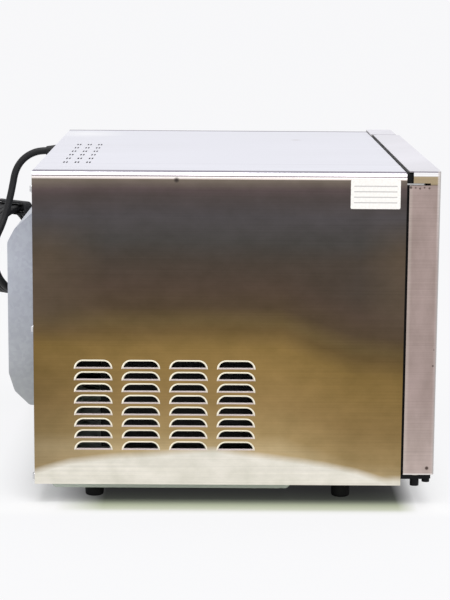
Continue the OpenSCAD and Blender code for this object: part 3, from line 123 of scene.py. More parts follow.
def faceNormal(tree):
    split = addNode(tree, "ShaderNodeSeparateXYZ")
    plug(tree, addNode(tree, "ShaderNodeNewGeometry").outputs["True Normal"], split.inputs[0])
    return split.outputs


def calculate(tree, kind, a, b=0.0):
    node = addNode(tree, "ShaderNodeMath", operation=kind)
    plug(tree, a, node.inputs[0])
    plug(tree, b, node.inputs[1])
    return node.outputs[0]


def times(tree, a, b):
    return calculate(tree, "MULTIPLY", a, b)


def plus(tree, a, b):
    return calculate(tree, "ADD", a, b)


def minus(tree, a, b):
    return calculate(tree, "SUBTRACT", a, b)


def larger(tree, a, b):
    return calculate(tree, "MAXIMUM", a, b)


def gapTo(tree, value, place):
    # distance from a place along one axis
    return calculate(tree, "ABSOLUTE", minus(tree, value, place))


def spread(tree, value, low, high, toLow=0.0, toHigh=1.0):
    node = addNode(tree, "ShaderNodeMapRange")
    for socket, amount in zip(node.inputs, (value, low, high, toLow, toHigh)):
        plug(tree, amount, socket)
    return node.outputs[0]


def fall(tree, value, start, end):
    # 1 up to the start, 0 past the end
    return spread(tree, value, start, end, 1.0, 0.0)


def noise(tree, scale, detail, roughness=0.5, coords=None):
    # scale is one number, or three where the grain runs along an axis
    place = coords or objectCoords(tree)
    if not isinstance(scale, (int, float)):
        mapping = addNode(tree, "ShaderNodeMapping")
        plug(tree, place, mapping.inputs["Vector"])
        mapping.inputs["Scale"].default_value = scale
        place, scale = mapping.outputs[0], 1.0
    node = addNode(tree, "ShaderNodeTexNoise")
    plug(tree, place, node.inputs["Vector"])
    node.inputs["Scale"].default_value = scale
    node.inputs["Detail"].default_value = detail
    node.inputs["Roughness"].default_value = roughness
    return node.outputs["Fac"]


def brushedGrain(tree, along, across, grain):
    # fine lines: close together across, long along
    lines = addNode(tree, "ShaderNodeCombineXYZ")
    plug(tree, times(tree, along, grain["along"]), lines.inputs[0])
    plug(tree, times(tree, across, grain["across"]), lines.inputs[1])
    return noise(tree, 1.0, grain["detail"], coords=lines.outputs[0])


def ramp(tree, value, stops):
    node = addNode(tree, "ShaderNodeValToRGB")
    elements = node.color_ramp.elements
    while len(elements) < len(stops):
        elements.new(0.5)
    for element, (place, tone) in zip(elements, stops):
        element.position = place
        element.color = tuple(tone) + (1.0,)
    plug(tree, value, node.inputs[0])
    return node.outputs[0]


def grey(stops):
    return [(place, (value, value, value)) for place, value in stops]


def blend(tree, a, b, amount, kind="MIX"):
    node = addNode(tree, "ShaderNodeMix", data_type="RGBA", blend_type=kind)
    plug(tree, amount, node.inputs[0])
    for source, socket in ((a, node.inputs[6]), (b, node.inputs[7])):
        plug(tree, source if isinstance(source, bpy.types.NodeSocket) else tuple(source) + (1.0,), socket)
    return node.outputs[2]


def tinted(tree, tone, tint):
    return blend(tree, tone, tint, 1.0, "MULTIPLY")


def mottled(tree, tone, pattern, dark, pale, margin=0.3):
    # the pattern makes the tone a little darker or paler
    return tinted(tree, tone, ramp(tree, pattern, [(margin, dark), (1.0 - margin, pale)]))


def varyRoughness(tree, shader, pattern, smooth, rough):
    # from smooth in the pattern's hollows to rough on its heights
    plug(tree, spread(tree, pattern, 0.3, 0.7, smooth, rough), shader.inputs["Roughness"])


def spot(tree, place, radius, soft):
    # 1 inside a ball round the place, 0 outside it
    gap = addNode(tree, "ShaderNodeVectorMath", operation="DISTANCE")
    plug(tree, objectCoords(tree), gap.inputs[0])
    gap.inputs[1].default_value = place
    return fall(tree, gap.outputs["Value"], radius, radius + soft)


def bump(tree, shader, height, strength, distance):
    node = addNode(tree, "ShaderNodeBump")
    node.inputs["Strength"].default_value = strength
    node.inputs["Distance"].default_value = distance
    plug(tree, height, node.inputs["Height"])
    plug(tree, node.outputs[0], shader.inputs["Normal"])


def colour(r, g, b):
    # 0-255 screen values to linear
    def linear(v):
        v /= 255.0
        return v / 12.92 if v <= 0.04045 else ((v + 0.055) / 1.055) ** 2.4
    return (linear(r), linear(g), linear(b))


box = {name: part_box(name) for name in nodes}
wrapLow, wrapHigh = box["outer_wrap"]
doorLow, doorHigh = box["door_skin"]

# the folded stainless casing
casing = {
    "left": float(wrapLow[0]),
    "side": float(wrapHigh[0]),
    "front": float(wrapLow[1]),
    "rear": float(wrapHigh[1]),
    "foot": float(wrapLow[2]),
    "top": float(wrapHigh[2]),
    "height": float(wrapHigh[2] - wrapLow[2]),
    "bend": 0.008,                     # its radius
    "grain": {"along": 4.0, "across": 700.0, "detail": 4.0, "dark": (0.93,) * 3, "pale": (1.05,) * 3,
              "rough": (0.30, 0.42), "bump": 0.15},
    "mottle": {"scale": (42.0, 30.0, 48.0), "detail": 5.0, "rough": 0.62,
               "tones": ((0.90, 0.90, 0.88), (1.08, 1.07, 1.08)), "margin": 0.32},
    "sheetInside": (0.0022, 0.0026),   # the unlit inner face, in from the outer one
    "insideBelow": (0.003, 0.002),     # and down from the top
    # painted shade: the near-black tone of the unlit inside
    "insideShade": (0.03, 0.03, 0.03),
    "bumpStrength": 0.5,
    "bumpDepth": 0.0004,
}

# painted reflections and painted shade on the casing's sides: tones by shares of its height and of the run
# from front to rear
wall = {
    "tones": [(0.04, colour(192, 168, 124)), (0.12, colour(193, 171, 129)), (0.17, colour(170, 145, 99)),
              (0.268, colour(157, 130, 84)), (0.38, colour(150, 123, 74)), (0.444, colour(142, 116, 68)),
              (0.50, colour(114, 93, 59)), (0.525, colour(110, 92, 61)), (0.575, colour(89, 74, 57)),
              (0.64, colour(86, 72, 61)), (0.716, colour(79, 70, 62)), (0.78, colour(77, 74, 71)),
              (0.86, colour(84, 80, 81)), (0.92, colour(84, 76, 74)), (0.945, colour(94, 82, 81)),
              (0.965, colour(114, 103, 95)), (0.975, colour(126, 115, 104))],
    "drift": (9.0, 7.0, 11.0),         # the tones' edges wander with this noise
    "driftDetail": 4.0,
    "driftShare": 0.03,
    # towards the front the tones lie lower
    "lowered": [(0.0, 0.105), (0.13, 0.09), (0.33, 0.0)],
    "loweredHeights": (0.62, 0.72),
    # painted shade: the lower half darkens towards both ends
    "shade": [(0.0, 0.83), (0.15, 0.87), (0.34, 1.0), (0.74, 1.0), (0.92, 0.74), (1.0, 0.63)],
    "shadeHeights": (0.36, 0.52),
    # painted reflection: the dark half is warmer at both ends
    "warmReflection": colour(99, 85, 70),
    "warmRear": (0.80, 0.95),
    "warmFront": (0.12, 0.02),
    "warmFrom": (0.46, 0.56),
    "warmTo": (0.86, 0.74),
    "warmShare": 0.75,
}

# painted reflection: the pale strip along the foot, highest in the middle
strip = {
    "tone": colour(236, 232, 219),
    "reach": 0.040,
    "line": [(0.0, 0.02), (0.03, 0.07), (0.12, 0.33), (0.20, 0.49), (0.255, 0.58), (0.39, 0.74),
             (0.51, 0.89), (0.64, 0.80), (0.77, 0.72), (0.90, 0.60), (0.945, 0.49), (1.0, 0.32)],
    "drift": 0.006,
    "soft": (-0.003, 0.005),
    # painted reflection: a low pale hem at both ends
    "hem": (0.004, 0.011),
    "hemRear": (0.93, 0.97),
    "hemFront": (0.06, 0.02),
    "hemShare": 0.75,
}

# painted highlights and dark reflection lines on the bend along the top, from just under its start to the
# top
bend = {
    "tones": [(0.12, colour(126, 114, 104)), (0.165, colour(228, 216, 208)), (0.42, colour(246, 238, 236)),
              (0.47, colour(112, 104, 108)), (0.57, colour(112, 104, 108)), (0.62, colour(232, 226, 232)),
              (0.90, colour(250, 248, 252)), (0.94, colour(140, 132, 148))],
    "early": 0.0002,
    "soft": (0.0005, 0.0008),
}

# the top face, painted pale as a reflection, with a painted dark reflection line beside the bend
top = {
    "tone": colour(223, 223, 231),
    "facing": (0.985, 0.995),          # how level a face is
    "line": colour(118, 110, 128),     # dark line beside the bend
    "lineInset": (0.0190, 0.0155),
    # painted shade: a darker line along a faint crease
    "crease": -0.175,                  # a faint crease from front to rear
    "creaseHalf": (0.0010, 0.0022),
    "creaseShade": colour(206, 204, 214),
    "creaseShare": 0.6,
    # a dark mark, then a painted highlight: place, radius, soft edge and tone
    "markAndGlint": [((0.122, -0.0737), 0.002, 0.006, colour(170, 160, 160)),
              ((0.195, 0.182), 0.006, 0.05, (1.0, 1.0, 1.0))],
    "spotShare": 0.5,
}

# lips of the louvres, rolled in from the sheet
lips = {
    "depth": (0.00001, 0.00006),
    "below": (0.020, 0.019),           # down from the top
    "facing": (-0.1, 0.1),
    # painted reflection: the lips are painted white where they face down and grey on the sill
    "under": colour(252, 246, 226),    # white where they face down, greyer on the sill
    "sill": colour(186, 174, 172),
    "lessMetal": 0.85,
}

# a small dent in the left bend: a bump, with painted shade in it
dent = {
    "place": (0.0616, 0.3325),
    "radius": 0.0011,
    "soft": 0.0022,
    "tone": colour(60, 54, 52),
    "share": 0.9,
}


# painted reflections and painted shade on the sides, by height and run
def wallTone(tree, run, height, slow):
    share = calculate(tree, "DIVIDE", height, casing["height"])
    lowered = times(tree, ramp(tree, run, grey(wall["lowered"])), fall(tree, share, *wall["loweredHeights"]))
    moved = plus(tree, plus(tree, share, lowered), times(tree, slow, wall["driftShare"]))
    tone = ramp(tree, moved, wall["tones"])
    shade = ramp(tree, run, grey(wall["shade"]))
    tone = blend(tree, tone, tinted(tree, tone, shade), fall(tree, share, *wall["shadeHeights"]))
    ends = larger(tree, spread(tree, run, *wall["warmRear"]), spread(tree, run, *wall["warmFront"]))
    heights = times(tree, spread(tree, share, *wall["warmFrom"]), spread(tree, share, *wall["warmTo"]))
    warm = times(tree, times(tree, ends, heights), wall["warmShare"])
    return blend(tree, tone, wall["warmReflection"], warm)


# painted reflection: the pale strip and hem along the foot
def stripTone(tree, tone, run, height, slow):
    line = times(tree, ramp(tree, run, grey(strip["line"])), strip["reach"])
    above = minus(tree, height, plus(tree, line, times(tree, slow, strip["drift"])))
    tone = blend(tree, strip["tone"], tone, spread(tree, above, *strip["soft"]))
    ends = larger(tree, spread(tree, run, *strip["hemRear"]), spread(tree, run, *strip["hemFront"]))
    hem = times(tree, fall(tree, height, *strip["hem"]), ends)
    return blend(tree, tone, strip["tone"], times(tree, hem, strip["hemShare"]))


# painted highlights and dark reflection lines across the top bend
def bendTone(tree, tone, up):
    start = casing["top"] - casing["bend"]
    share = spread(tree, up, start - bend["early"], casing["top"])
    onBend = spread(tree, up, start + bend["soft"][0], start + bend["soft"][1])
    return blend(tree, tone, ramp(tree, share, bend["tones"]), onBend)


def topTone(tree, across, inward):
    start, end = (casing["side"] - inset for inset in top["lineInset"])
    tone = blend(tree, top["tone"], top["line"], spread(tree, inward, start, end))
    crease = fall(tree, gapTo(tree, across, top["crease"]), *top["creaseHalf"])
    tone = blend(tree, tone, top["creaseShade"], times(tree, crease, top["creaseShare"]))
    for place, radius, soft, spotTone in top["markAndGlint"]:
        amount = times(tree, spot(tree, (*place, casing["top"]), radius, soft), top["spotShare"])
        tone = blend(tree, tone, spotTone, amount)
    return tone


def casingSheet():
    mat, tree, shader = newMaterial("casingSheet")
    xyz = axes(tree)
    normal = faceNormal(tree)
    run = spread(tree, xyz[1], casing["front"], casing["rear"])
    height = minus(tree, xyz[2], casing["foot"])
    slow = minus(tree, noise(tree, wall["drift"], wall["driftDetail"]), 0.5)
    # the sides' painted reflections and shade, then the painted reflection along the foot
    tone = wallTone(tree, run, height, slow)
    tone = stripTone(tree, tone, run, height, slow)
    # mottle of a handled sheet
    mottle = casing["mottle"]
    cloud = noise(tree, mottle["scale"], mottle["detail"], mottle["rough"])
    tone = mottled(tree, tone, cloud, *mottle["tones"], mottle["margin"])
    # painted highlights on the top bend
    tone = bendTone(tree, tone, xyz[2])
    inward = calculate(tree, "ABSOLUTE", xyz[0])
    # painted reflection: level faces take the pale top
    tone = blend(tree, tone, topTone(tree, xyz[0], inward), spread(tree, normal[2], *top["facing"]))
    # painted reflections on the lips, and painted shade in the dent
    depth = minus(tree, casing["side"], inward)
    start, end = (casing["height"] - down for down in lips["below"])
    lip = times(tree, spread(tree, depth, *lips["depth"]), fall(tree, height, start, end))
    lipTone = blend(tree, lips["under"], lips["sill"], spread(tree, normal[2], *lips["facing"]))
    tone = blend(tree, tone, lipTone, lip)
    hollow = spot(tree, (casing["left"], *dent["place"]), dent["radius"], dent["soft"])
    tone = blend(tree, tone, dent["tone"], times(tree, hollow, dent["share"]))
    grain = brushedGrain(tree, xyz[1], plus(tree, xyz[2], xyz[0]), casing["grain"])
    tone = mottled(tree, tone, grain, casing["grain"]["dark"], casing["grain"]["pale"])
    # painted shade: faces inside the sheet, below the top, are painted near black
    start, end = (casing["height"] - down for down in casing["insideBelow"])
    inside = times(tree, spread(tree, depth, *casing["sheetInside"]), fall(tree, height, start, end))
    tone = blend(tree, tone, casing["insideShade"], inside)
    plug(tree, tone, shader.inputs["Base Color"])
    plug(tree, minus(tree, 1.0, times(tree, lip, lips["lessMetal"])), shader.inputs["Metallic"])
    varyRoughness(tree, shader, grain, *casing["grain"]["rough"])
    dimple = plus(tree, times(tree, grain, casing["grain"]["bump"]), times(tree, hollow, -1.0))
    bump(tree, shader, dimple, casing["bumpStrength"], casing["bumpDepth"])
    return mat


# the folded stainless door, with painted reflections by facing, a seam, and painted highlight bands and
# edges measured in from its own outline
door = {
    # painted reflections by facing: the side's tone, paler low down, the other faces' tone and a paler one
    # on upward faces
    "side": colour(172, 154, 148),
    "low": colour(193, 177, 170),
    "lowHeights": (0.035, 0.11),
    "face": colour(186, 182, 180),
    "above": colour(222, 220, 226),
    "sideFacing": (0.55, 0.90),
    "upFacing": (0.6, 0.9),
    "grain": {"along": 6.0, "across": 900.0, "detail": 5.0, "dark": (0.92,) * 3, "pale": (1.06,) * 3,
              "rough": (0.28, 0.42), "bump": 0.08},
    "mottle": {"scale": (60.0, 50.0, 26.0), "detail": 4.0, "rough": 0.6,
               "tones": ((0.90, 0.89, 0.88), (1.10, 1.09, 1.10)), "margin": 0.32},
    "seam": 0.0134,                    # down to the lower edge of the corner's folded tab
    "seamSoft": 0.0002,
    "seamHalf": (0.0003, 0.0009),
    "seamTone": colour(112, 98, 78),
    "seamShare": 0.7,
    # painted reflection: the folded tab's warmer tone
    "tab": colour(176, 158, 128),
    "band": (0.0053, 0.0045),          # white band under the top
    "bandHighlight": (1.0, 0.985, 1.0),
    "line": (0.0011, 0.0007),          # dark line above it
    "lineReflection": colour(110, 98, 120),
    # painted highlights along the rear, front and bottom edges
    "rearEdge": (0.0040, 0.0016),
    "rearHighlight": colour(208, 198, 186),
    "rearShare": 0.30,
    "frontEdge": (0.0040, 0.0026),
    "frontHighlight": colour(222, 214, 210),
    "frontHeights": (0.25, 0.33),
    "frontShares": (0.20, 0.85),       # below and above those heights
    "bottom": (0.0007, 0.0017),
    "bottomHighlight": colour(240, 234, 230),
    "bottomShare": 0.8,
    "markTone": colour(64, 50, 44),
    "markSoft": 0.9,
    # marks on the left side, as depth, height, radius and strength
    "marks": [(-0.1985, 0.1451, 0.0007, 0.75), (-0.1992, 0.1616, 0.0006, 0.6),
              (-0.1720, 0.3265, 0.0009, 0.8), (-0.1768, 0.3262, 0.0006, 0.7),
              (-0.1812, 0.3255, 0.0007, 0.75), (-0.1856, 0.3264, 0.0006, 0.7),
              (-0.1905, 0.3258, 0.0007, 0.7), (-0.1948, 0.0385, 0.0012, 0.9)],
}


def doorSide(tree, xyz):
    foot, head = float(doorLow[2]), float(doorHigh[2])
    front, rear = float(doorLow[1]), float(doorHigh[1])
    mottle = door["mottle"]
    # painted reflection: the side is paler low down
    tone = blend(tree, door["side"], door["low"], fall(tree, xyz[2], *door["lowHeights"]))
    cloud = noise(tree, mottle["scale"], mottle["detail"], mottle["rough"])
    tone = mottled(tree, tone, cloud, *mottle["tones"], mottle["margin"])
    # painted reflections and highlights: warm patch on the folded tab, white above it, and the turned edges
    # all round
    seam = head - door["seam"]
    tab = spread(tree, xyz[2], seam - door["seamSoft"], seam + door["seamSoft"])
    tone = blend(tree, tone, door["tab"], tab)
    seamLine = fall(tree, gapTo(tree, xyz[2], seam), *door["seamHalf"])
    tone = blend(tree, tone, door["seamTone"], times(tree, seamLine, door["seamShare"]))
    for downs, partTone in ((door["band"], door["bandHighlight"]), (door["line"], door["lineReflection"])):
        start, end = (head - down for down in downs)
        tone = blend(tree, tone, partTone, spread(tree, xyz[2], start, end))
    start, end = (rear - inset for inset in door["rearEdge"])
    rearEdge = spread(tree, xyz[1], start, end)
    tone = blend(tree, tone, door["rearHighlight"], times(tree, rearEdge, door["rearShare"]))
    start, end = (foot + up for up in door["bottom"])
    bottom = fall(tree, xyz[2], start, end)
    tone = blend(tree, tone, door["bottomHighlight"], times(tree, bottom, door["bottomShare"]))
    for depth, height, radius, strength in door["marks"]:
        mark = spot(tree, (casing["left"], depth, height), radius, radius * door["markSoft"])
        tone = blend(tree, tone, door["markTone"], times(tree, mark, strength))
    # painted highlight on the front edge
    start, end = (front + inset for inset in door["frontEdge"])
    frontEdge = spread(tree, xyz[1], start, end)
    shares = spread(tree, xyz[2], *door["frontHeights"], *door["frontShares"])
    return blend(tree, tone, door["frontHighlight"], times(tree, frontEdge, shares))


def doorSheet():
    mat, tree, shader = newMaterial("doorSheet")
    xyz = axes(tree)
    normal = faceNormal(tree)
    grain = brushedGrain(tree, plus(tree, xyz[0], xyz[1]), xyz[2], door["grain"])
    # painted reflections by facing: side faces, other faces and upward faces each take their own tone
    sideways = spread(tree, calculate(tree, "ABSOLUTE", normal[0]), *door["sideFacing"])
    tone = blend(tree, door["face"], doorSide(tree, xyz), sideways)
    tone = blend(tree, tone, door["above"], spread(tree, normal[2], *door["upFacing"]))
    tone = mottled(tree, tone, grain, door["grain"]["dark"], door["grain"]["pale"])
    plug(tree, tone, shader.inputs["Base Color"])
    shader.inputs["Metallic"].default_value = 1.0
    varyRoughness(tree, shader, grain, *door["grain"]["rough"])
    bump(tree, shader, grain, door["grain"]["bump"], 0.0004)
    return mat


# zinc-coated sheet of the cover, the rear panel and the base pan
zinc = {
    "flakes": 300.0,
    "dark": colour(183, 186, 196),
    "pale": colour(191, 195, 203),
    "soft": 22.0,
    "tones": ((0.92,) * 3, (1.06,) * 3),
    "low": (0.86, 0.85, 0.78),         # warmer and darker towards the cover's foot
    "lowHeights": (0.10, 0.21),
    # painted shade: the near-black tone of the unlit inside
    "inside": (0.012, 0.012, 0.012),   # faces inside the casing get no light
    "insideDepth": (0.2042, 0.2048),
    "insideHeights": (0.337, 0.338),
    # the shallow tray pressed down out of the base pan: painted shade on its downward faces, painted
    # reflected light on its pale flanks
    "tray": colour(112, 116, 116),
    "trayHeights": (0.0192, 0.0198),
    "litFlank": colour(214, 224, 212),
    "flankFacing": (-0.9, -0.5),
    "metallic": 0.85,
    "rough": (0.44, 0.48),
}


def galvanised():
    mat, tree, shader = newMaterial("galvanised")
    flakes = addNode(tree, "ShaderNodeTexVoronoi")
    plug(tree, objectCoords(tree), flakes.inputs["Vector"])
    flakes.inputs["Scale"].default_value = zinc["flakes"]
    shade = addNode(tree, "ShaderNodeSeparateColor")
    plug(tree, flakes.outputs["Color"], shade.inputs[0])
    tone = ramp(tree, shade.outputs[0], [(0.0, zinc["dark"]), (1.0, zinc["pale"])])
    soft = noise(tree, zinc["soft"], 5.0)
    tone = mottled(tree, tone, soft, *zinc["tones"])
    xyz = axes(tree)
    low = fall(tree, xyz[2], *zinc["lowHeights"])
    tone = blend(tree, tone, tinted(tree, tone, zinc["low"]), low)
    # painted shade: faces inside the casing are painted near black
    inside = times(tree, fall(tree, xyz[1], *zinc["insideDepth"]),
                   fall(tree, xyz[2], *zinc["insideHeights"]))
    tone = blend(tree, tone, zinc["inside"], inside)
    # painted shade on the tray's downward faces, painted reflected light on its flanks
    tray = fall(tree, xyz[2], *zinc["trayHeights"])
    litFlank = times(tree, tray, spread(tree, faceNormal(tree)[2], *zinc["flankFacing"]))
    tone = blend(tree, tone, zinc["tray"], tray)
    tone = blend(tree, tone, zinc["litFlank"], litFlank)
    plug(tree, tone, shader.inputs["Base Color"])
    dull = times(tree, litFlank, zinc["metallic"])
    plug(tree, minus(tree, zinc["metallic"], dull), shader.inputs["Metallic"])
    plug(tree, spread(tree, shade.outputs[1], 0.0, 1.0, *zinc["rough"]), shader.inputs["Roughness"])
    bump(tree, shader, soft, 0.03, 0.0006)
    return mat


# how much tone and roughness vary over a piece
varied = {
    "metal": {"dark": 0.86, "pale": 1.10, "lift": 0.0, "smooth": 0.85, "rough": 1.2},
    "moulded": {"dark": 0.82, "pale": 1.16, "lift": 0.002, "smooth": 0.88, "rough": 1.12},
}


def varySurface(tree, shader, pattern, tone, roughness, change):
    low = tuple(c * change["dark"] for c in tone)
    high = tuple(min(1.0, c * change["pale"] + change["lift"]) for c in tone)
    plug(tree, ramp(tree, pattern, [(0.3, low), (0.7, high)]), shader.inputs["Base Color"])
    varyRoughness(tree, shader, pattern, roughness * change["smooth"], roughness * change["rough"])


def metal(name, tone, roughness, scale, stretch=(1, 1, 1), depth=0.05):
    mat, tree, shader = newMaterial(name)
    grain = noise(tree, tuple(scale * s for s in stretch), 5.0, 0.6)
    varySurface(tree, shader, grain, tone, roughness, varied["metal"])
    shader.inputs["Metallic"].default_value = 1.0
    bump(tree, shader, grain, depth, 0.0005)
    return mat


def moulded(name, tone, roughness, scale=900.0, depth=0.15, coat=0.0, gloss=0.5):
    # paint, plastic or rubber with a fine texture and slow changes of tone
    mat, tree, shader = newMaterial(name)
    varySurface(tree, shader, noise(tree, 14.0, 4.0), tone, roughness, varied["moulded"])
    shader.inputs["Coat Weight"].default_value = coat
    shader.inputs["Coat Roughness"].default_value = 0.12
    shader.inputs["Specular IOR Level"].default_value = gloss
    bump(tree, shader, noise(tree, scale, 2.0), depth, 0.0003)
    return mat


# heater tubes, tinted by heat
sheath = {
    "tint": 26.0,
    "tones": [(0.3, colour(70, 60, 52)), (0.5, colour(112, 96, 84)), (0.7, colour(84, 86, 104))],
    "metallic": 0.9,
    "rough": 0.5,
    "bump": 0.15,
}


def heaterSheath():
    mat, tree, shader = newMaterial("heaterSheath")
    tint = noise(tree, sheath["tint"], 5.0, 0.65)
    plug(tree, ramp(tree, tint, sheath["tones"]), shader.inputs["Base Color"])
    shader.inputs["Metallic"].default_value = sheath["metallic"]
    shader.inputs["Roughness"].default_value = sheath["rough"]
    bump(tree, shader, tint, sheath["bump"], 0.0005)
    return mat


# woven black facing round the chamber
wool = {
    "threads": 120.0,
    "wander": 0.6,
    "tones": [(0.0, (0.004, 0.004, 0.004)), (1.0, (0.016, 0.015, 0.014))],
    "rough": 0.95,
    "sheen": 0.1,
    "bump": 0.4,
}


def woolFacing():
    mat, tree, shader = newMaterial("woolFacing")
    warp = addNode(tree, "ShaderNodeTexWave", wave_type="BANDS", bands_direction="Z")
    weft = addNode(tree, "ShaderNodeTexWave", wave_type="BANDS", bands_direction="Y")
    for wave in (warp, weft):
        plug(tree, objectCoords(tree), wave.inputs["Vector"])
        wave.inputs["Scale"].default_value = wool["threads"]
        wave.inputs["Distortion"].default_value = wool["wander"]
    weave = times(tree, warp.outputs["Fac"], weft.outputs["Fac"])
    plug(tree, ramp(tree, weave, wool["tones"]), shader.inputs["Base Color"])
    shader.inputs["Roughness"].default_value = wool["rough"]
    shader.inputs["Sheen Weight"].default_value = wool["sheen"]
    bump(tree, shader, weave, wool["bump"], 0.0006)
    return mat


glass = {
    "haze": 30.0,
    "tones": [(0.3, (0.30, 0.33, 0.34)), (0.7, (0.34, 0.37, 0.38))],
    "rough": (0.01, 0.04),
    "ior": 1.47,
}


def paneGlass():
    mat, tree, shader = newMaterial("paneGlass")
    haze = noise(tree, glass["haze"], 4.0)
    plug(tree, ramp(tree, haze, glass["tones"]), shader.inputs["Base Color"])
    shader.inputs["Transmission Weight"].default_value = 1.0
    varyRoughness(tree, shader, haze, *glass["rough"])
    shader.inputs["IOR"].default_value = glass["ior"]
    return mat


jacket = {
    "patches": 40.0,
    "tones": [(0.3, (0.006, 0.006, 0.007)), (0.7, (0.013, 0.013, 0.014))],
    "rough": (0.42, 0.55),
    "gloss": 0.3,
    "texture": 1400.0,
    "bump": 0.08,
}


def cordJacket():
    mat, tree, shader = newMaterial("cordJacket")
    slow = noise(tree, jacket["patches"], 4.0)
    plug(tree, ramp(tree, slow, jacket["tones"]), shader.inputs["Base Color"])
    varyRoughness(tree, shader, slow, *jacket["rough"])
    shader.inputs["Specular IOR Level"].default_value = jacket["gloss"]
    bump(tree, shader, noise(tree, jacket["texture"], 2.0), jacket["bump"], 0.0002)
    return mat


board = {
    "blocks": 90.0,
    "mask": ((0.010, 0.10, 0.045, 1), (0.014, 0.13, 0.055, 1)),
    "tracks": (0.03, 0.22, 0.10, 1),
    "rough": 0.35,
    "coat": 0.3,
}


def circuitBoard():
    mat, tree, shader = newMaterial("circuitBoard")
    tracks = addNode(tree, "ShaderNodeTexBrick")
    plug(tree, objectCoords(tree), tracks.inputs["Vector"])
    tracks.inputs["Scale"].default_value = board["blocks"]
    tracks.inputs["Color1"].default_value, tracks.inputs["Color2"].default_value = board["mask"]
    tracks.inputs["Mortar"].default_value = board["tracks"]
    plug(tree, tracks.outputs["Color"], shader.inputs["Base Color"])
    shader.inputs["Roughness"].default_value = board["rough"]
    shader.inputs["Coat Weight"].default_value = board["coat"]
    return mat


materials = {
    "casing_sheet": casingSheet(),
    "rear_sheet": galvanised(),
    "bright_steel": metal("brightSteel", colour(206, 206, 208), 0.22, scale=260.0, stretch=(1, 1, 0.03),
                          depth=0.01),
    "machined_steel": metal("machinedSteel", colour(190, 189, 188), 0.28, scale=300.0),
    "black_steel": moulded("blackSteel", (0.004, 0.004, 0.0045), 0.5, gloss=0.12),
    "frame_paint": moulded("framePaint", (0.006, 0.006, 0.0065), 0.6, gloss=0.15),
    "liner_steel": metal("linerSteel", colour(186, 181, 172), 0.36, scale=8.0),
    "heater_sheath": heaterSheath(),
    "ceramic": moulded("ceramicBeads", colour(232, 228, 214), 0.3, coat=0.4),
    "wool": woolFacing(),
    "aluminium_parts": metal("aluminiumParts", colour(196, 198, 201), 0.34, scale=120.0),
    "motor_paint": moulded("motorPaint", (0.05, 0.058, 0.07), 0.4, coat=0.2),
    "black_plastic": moulded("blackPlastic", (0.010, 0.010, 0.011), 0.5, gloss=0.3),
    "black_rubber": moulded("blackRubber", (0.008, 0.008, 0.008), 0.65, gloss=0.2),
    "seal_silicone": moulded("sealSilicone", colour(168, 62, 44), 0.45),
    "bush_polymer": moulded("bushPolymer", colour(222, 214, 196), 0.4),
    "magnet_nickel": metal("magnetNickel", colour(198, 196, 190), 0.22, scale=150.0),
    "pane_glass": paneGlass(),
    "screen_lens": moulded("screenLens", (0.006, 0.012, 0.016), 0.08, depth=0.0, coat=1.0),
    "board_green": circuitBoard(),
    "button_green": moulded("buttonGreen", colour(52, 128, 68), 0.3, coat=0.4),
    "button_red": moulded("buttonRed", colour(178, 40, 32), 0.3, coat=0.4),
    "button_white": moulded("buttonWhite", colour(226, 226, 222), 0.3, coat=0.4),
    "cord_jacket": cordJacket(),
}
doorMaterial = doorSheet()


def dressNodes():
    slots = {part["node"]: part["material_slot"] for part in frame["record"]["subparts"]}
    for name, obj in nodes.items():
        mat = materials[slots[name]]
        if name in ("door_skin", "control_fascia"):
            mat = doorMaterial
        obj.data.materials.clear()
        obj.data.materials.append(mat)


dressNodes()
print("materials done:", len(materials))

# the mains lead: out of the gland, down to the coil, round it, and on to the plug
lead = {
    "diameter": 0.009,
    "out": [
        (0.186, 0.21375, 0.320), (0.186, 0.22275, 0.320), (0.186, 0.23175, 0.320),
        (0.186, 0.24155, 0.3187), (0.186, 0.25075, 0.3149), (0.1855, 0.25865, 0.3089),
        (0.1845, 0.26465, 0.301), (0.1825, 0.26845, 0.2918), (0.180, 0.27045, 0.2815),
        (0.177, 0.27245, 0.2705), (0.1735, 0.27495, 0.259), (0.1695, 0.27775, 0.248),
        (0.1655, 0.28075, 0.238),
    ],
    "coilMiddle": (0.206, 0.27575, 0.196),
    "coilRadius": 0.052,
    "coilSpread": 0.046,     # first turn's middle to the last one's
    "coilTurn": 140.0,       # angles in degrees
    "startAngle": 40.0,
    "sweep": 1840.0,
    "stepAngle": 20.0,
    "tail": [
        (0.181, 0.32675, 0.184), (0.181, 0.32575, 0.172), (0.181, 0.32475, 0.160),
        (0.181, 0.32375, 0.150),
    ],
    "smooth": 4,             # points from one route point to the next
    "roundness": 3,
}


def coilAxes():
    # level direction in the coil's plane, and the direction of its axle
    turn = math.radians(lead["coilTurn"])
    return Vector((math.cos(turn), math.sin(turn), 0)), Vector((math.sin(turn), -math.cos(turn), 0))


def coilPoint(share):
    angle = math.radians(lead["startAngle"] - share * lead["sweep"])
    heading, axle = coilAxes()
    ring = heading * math.cos(angle) + Vector((0, 0, 1)) * math.sin(angle)
    return Vector(lead["coilMiddle"]) + ring * lead["coilRadius"] + axle * (share - 0.5) * lead["coilSpread"]


def smoothRoute(points, between):
    # a curve through every point, with a few points between each two
    route = []
    last = len(points) - 1
    for i in range(last):
        a, b, c, d = (Vector(points[max(0, min(last, i + k))]) for k in (-1, 0, 1, 2))
        for step in range(between):
            t = step / between
            route.append(0.5 * ((2 * b) + (c - a) * t + (2 * a - 5 * b + 4 * c - d) * t * t
                                + (3 * b - a - 3 * c + d) * t * t * t))
    route.append(Vector(points[last]))
    return route


def routeLength(route):
    return sum((b - a).length for a, b in zip(route, route[1:]))


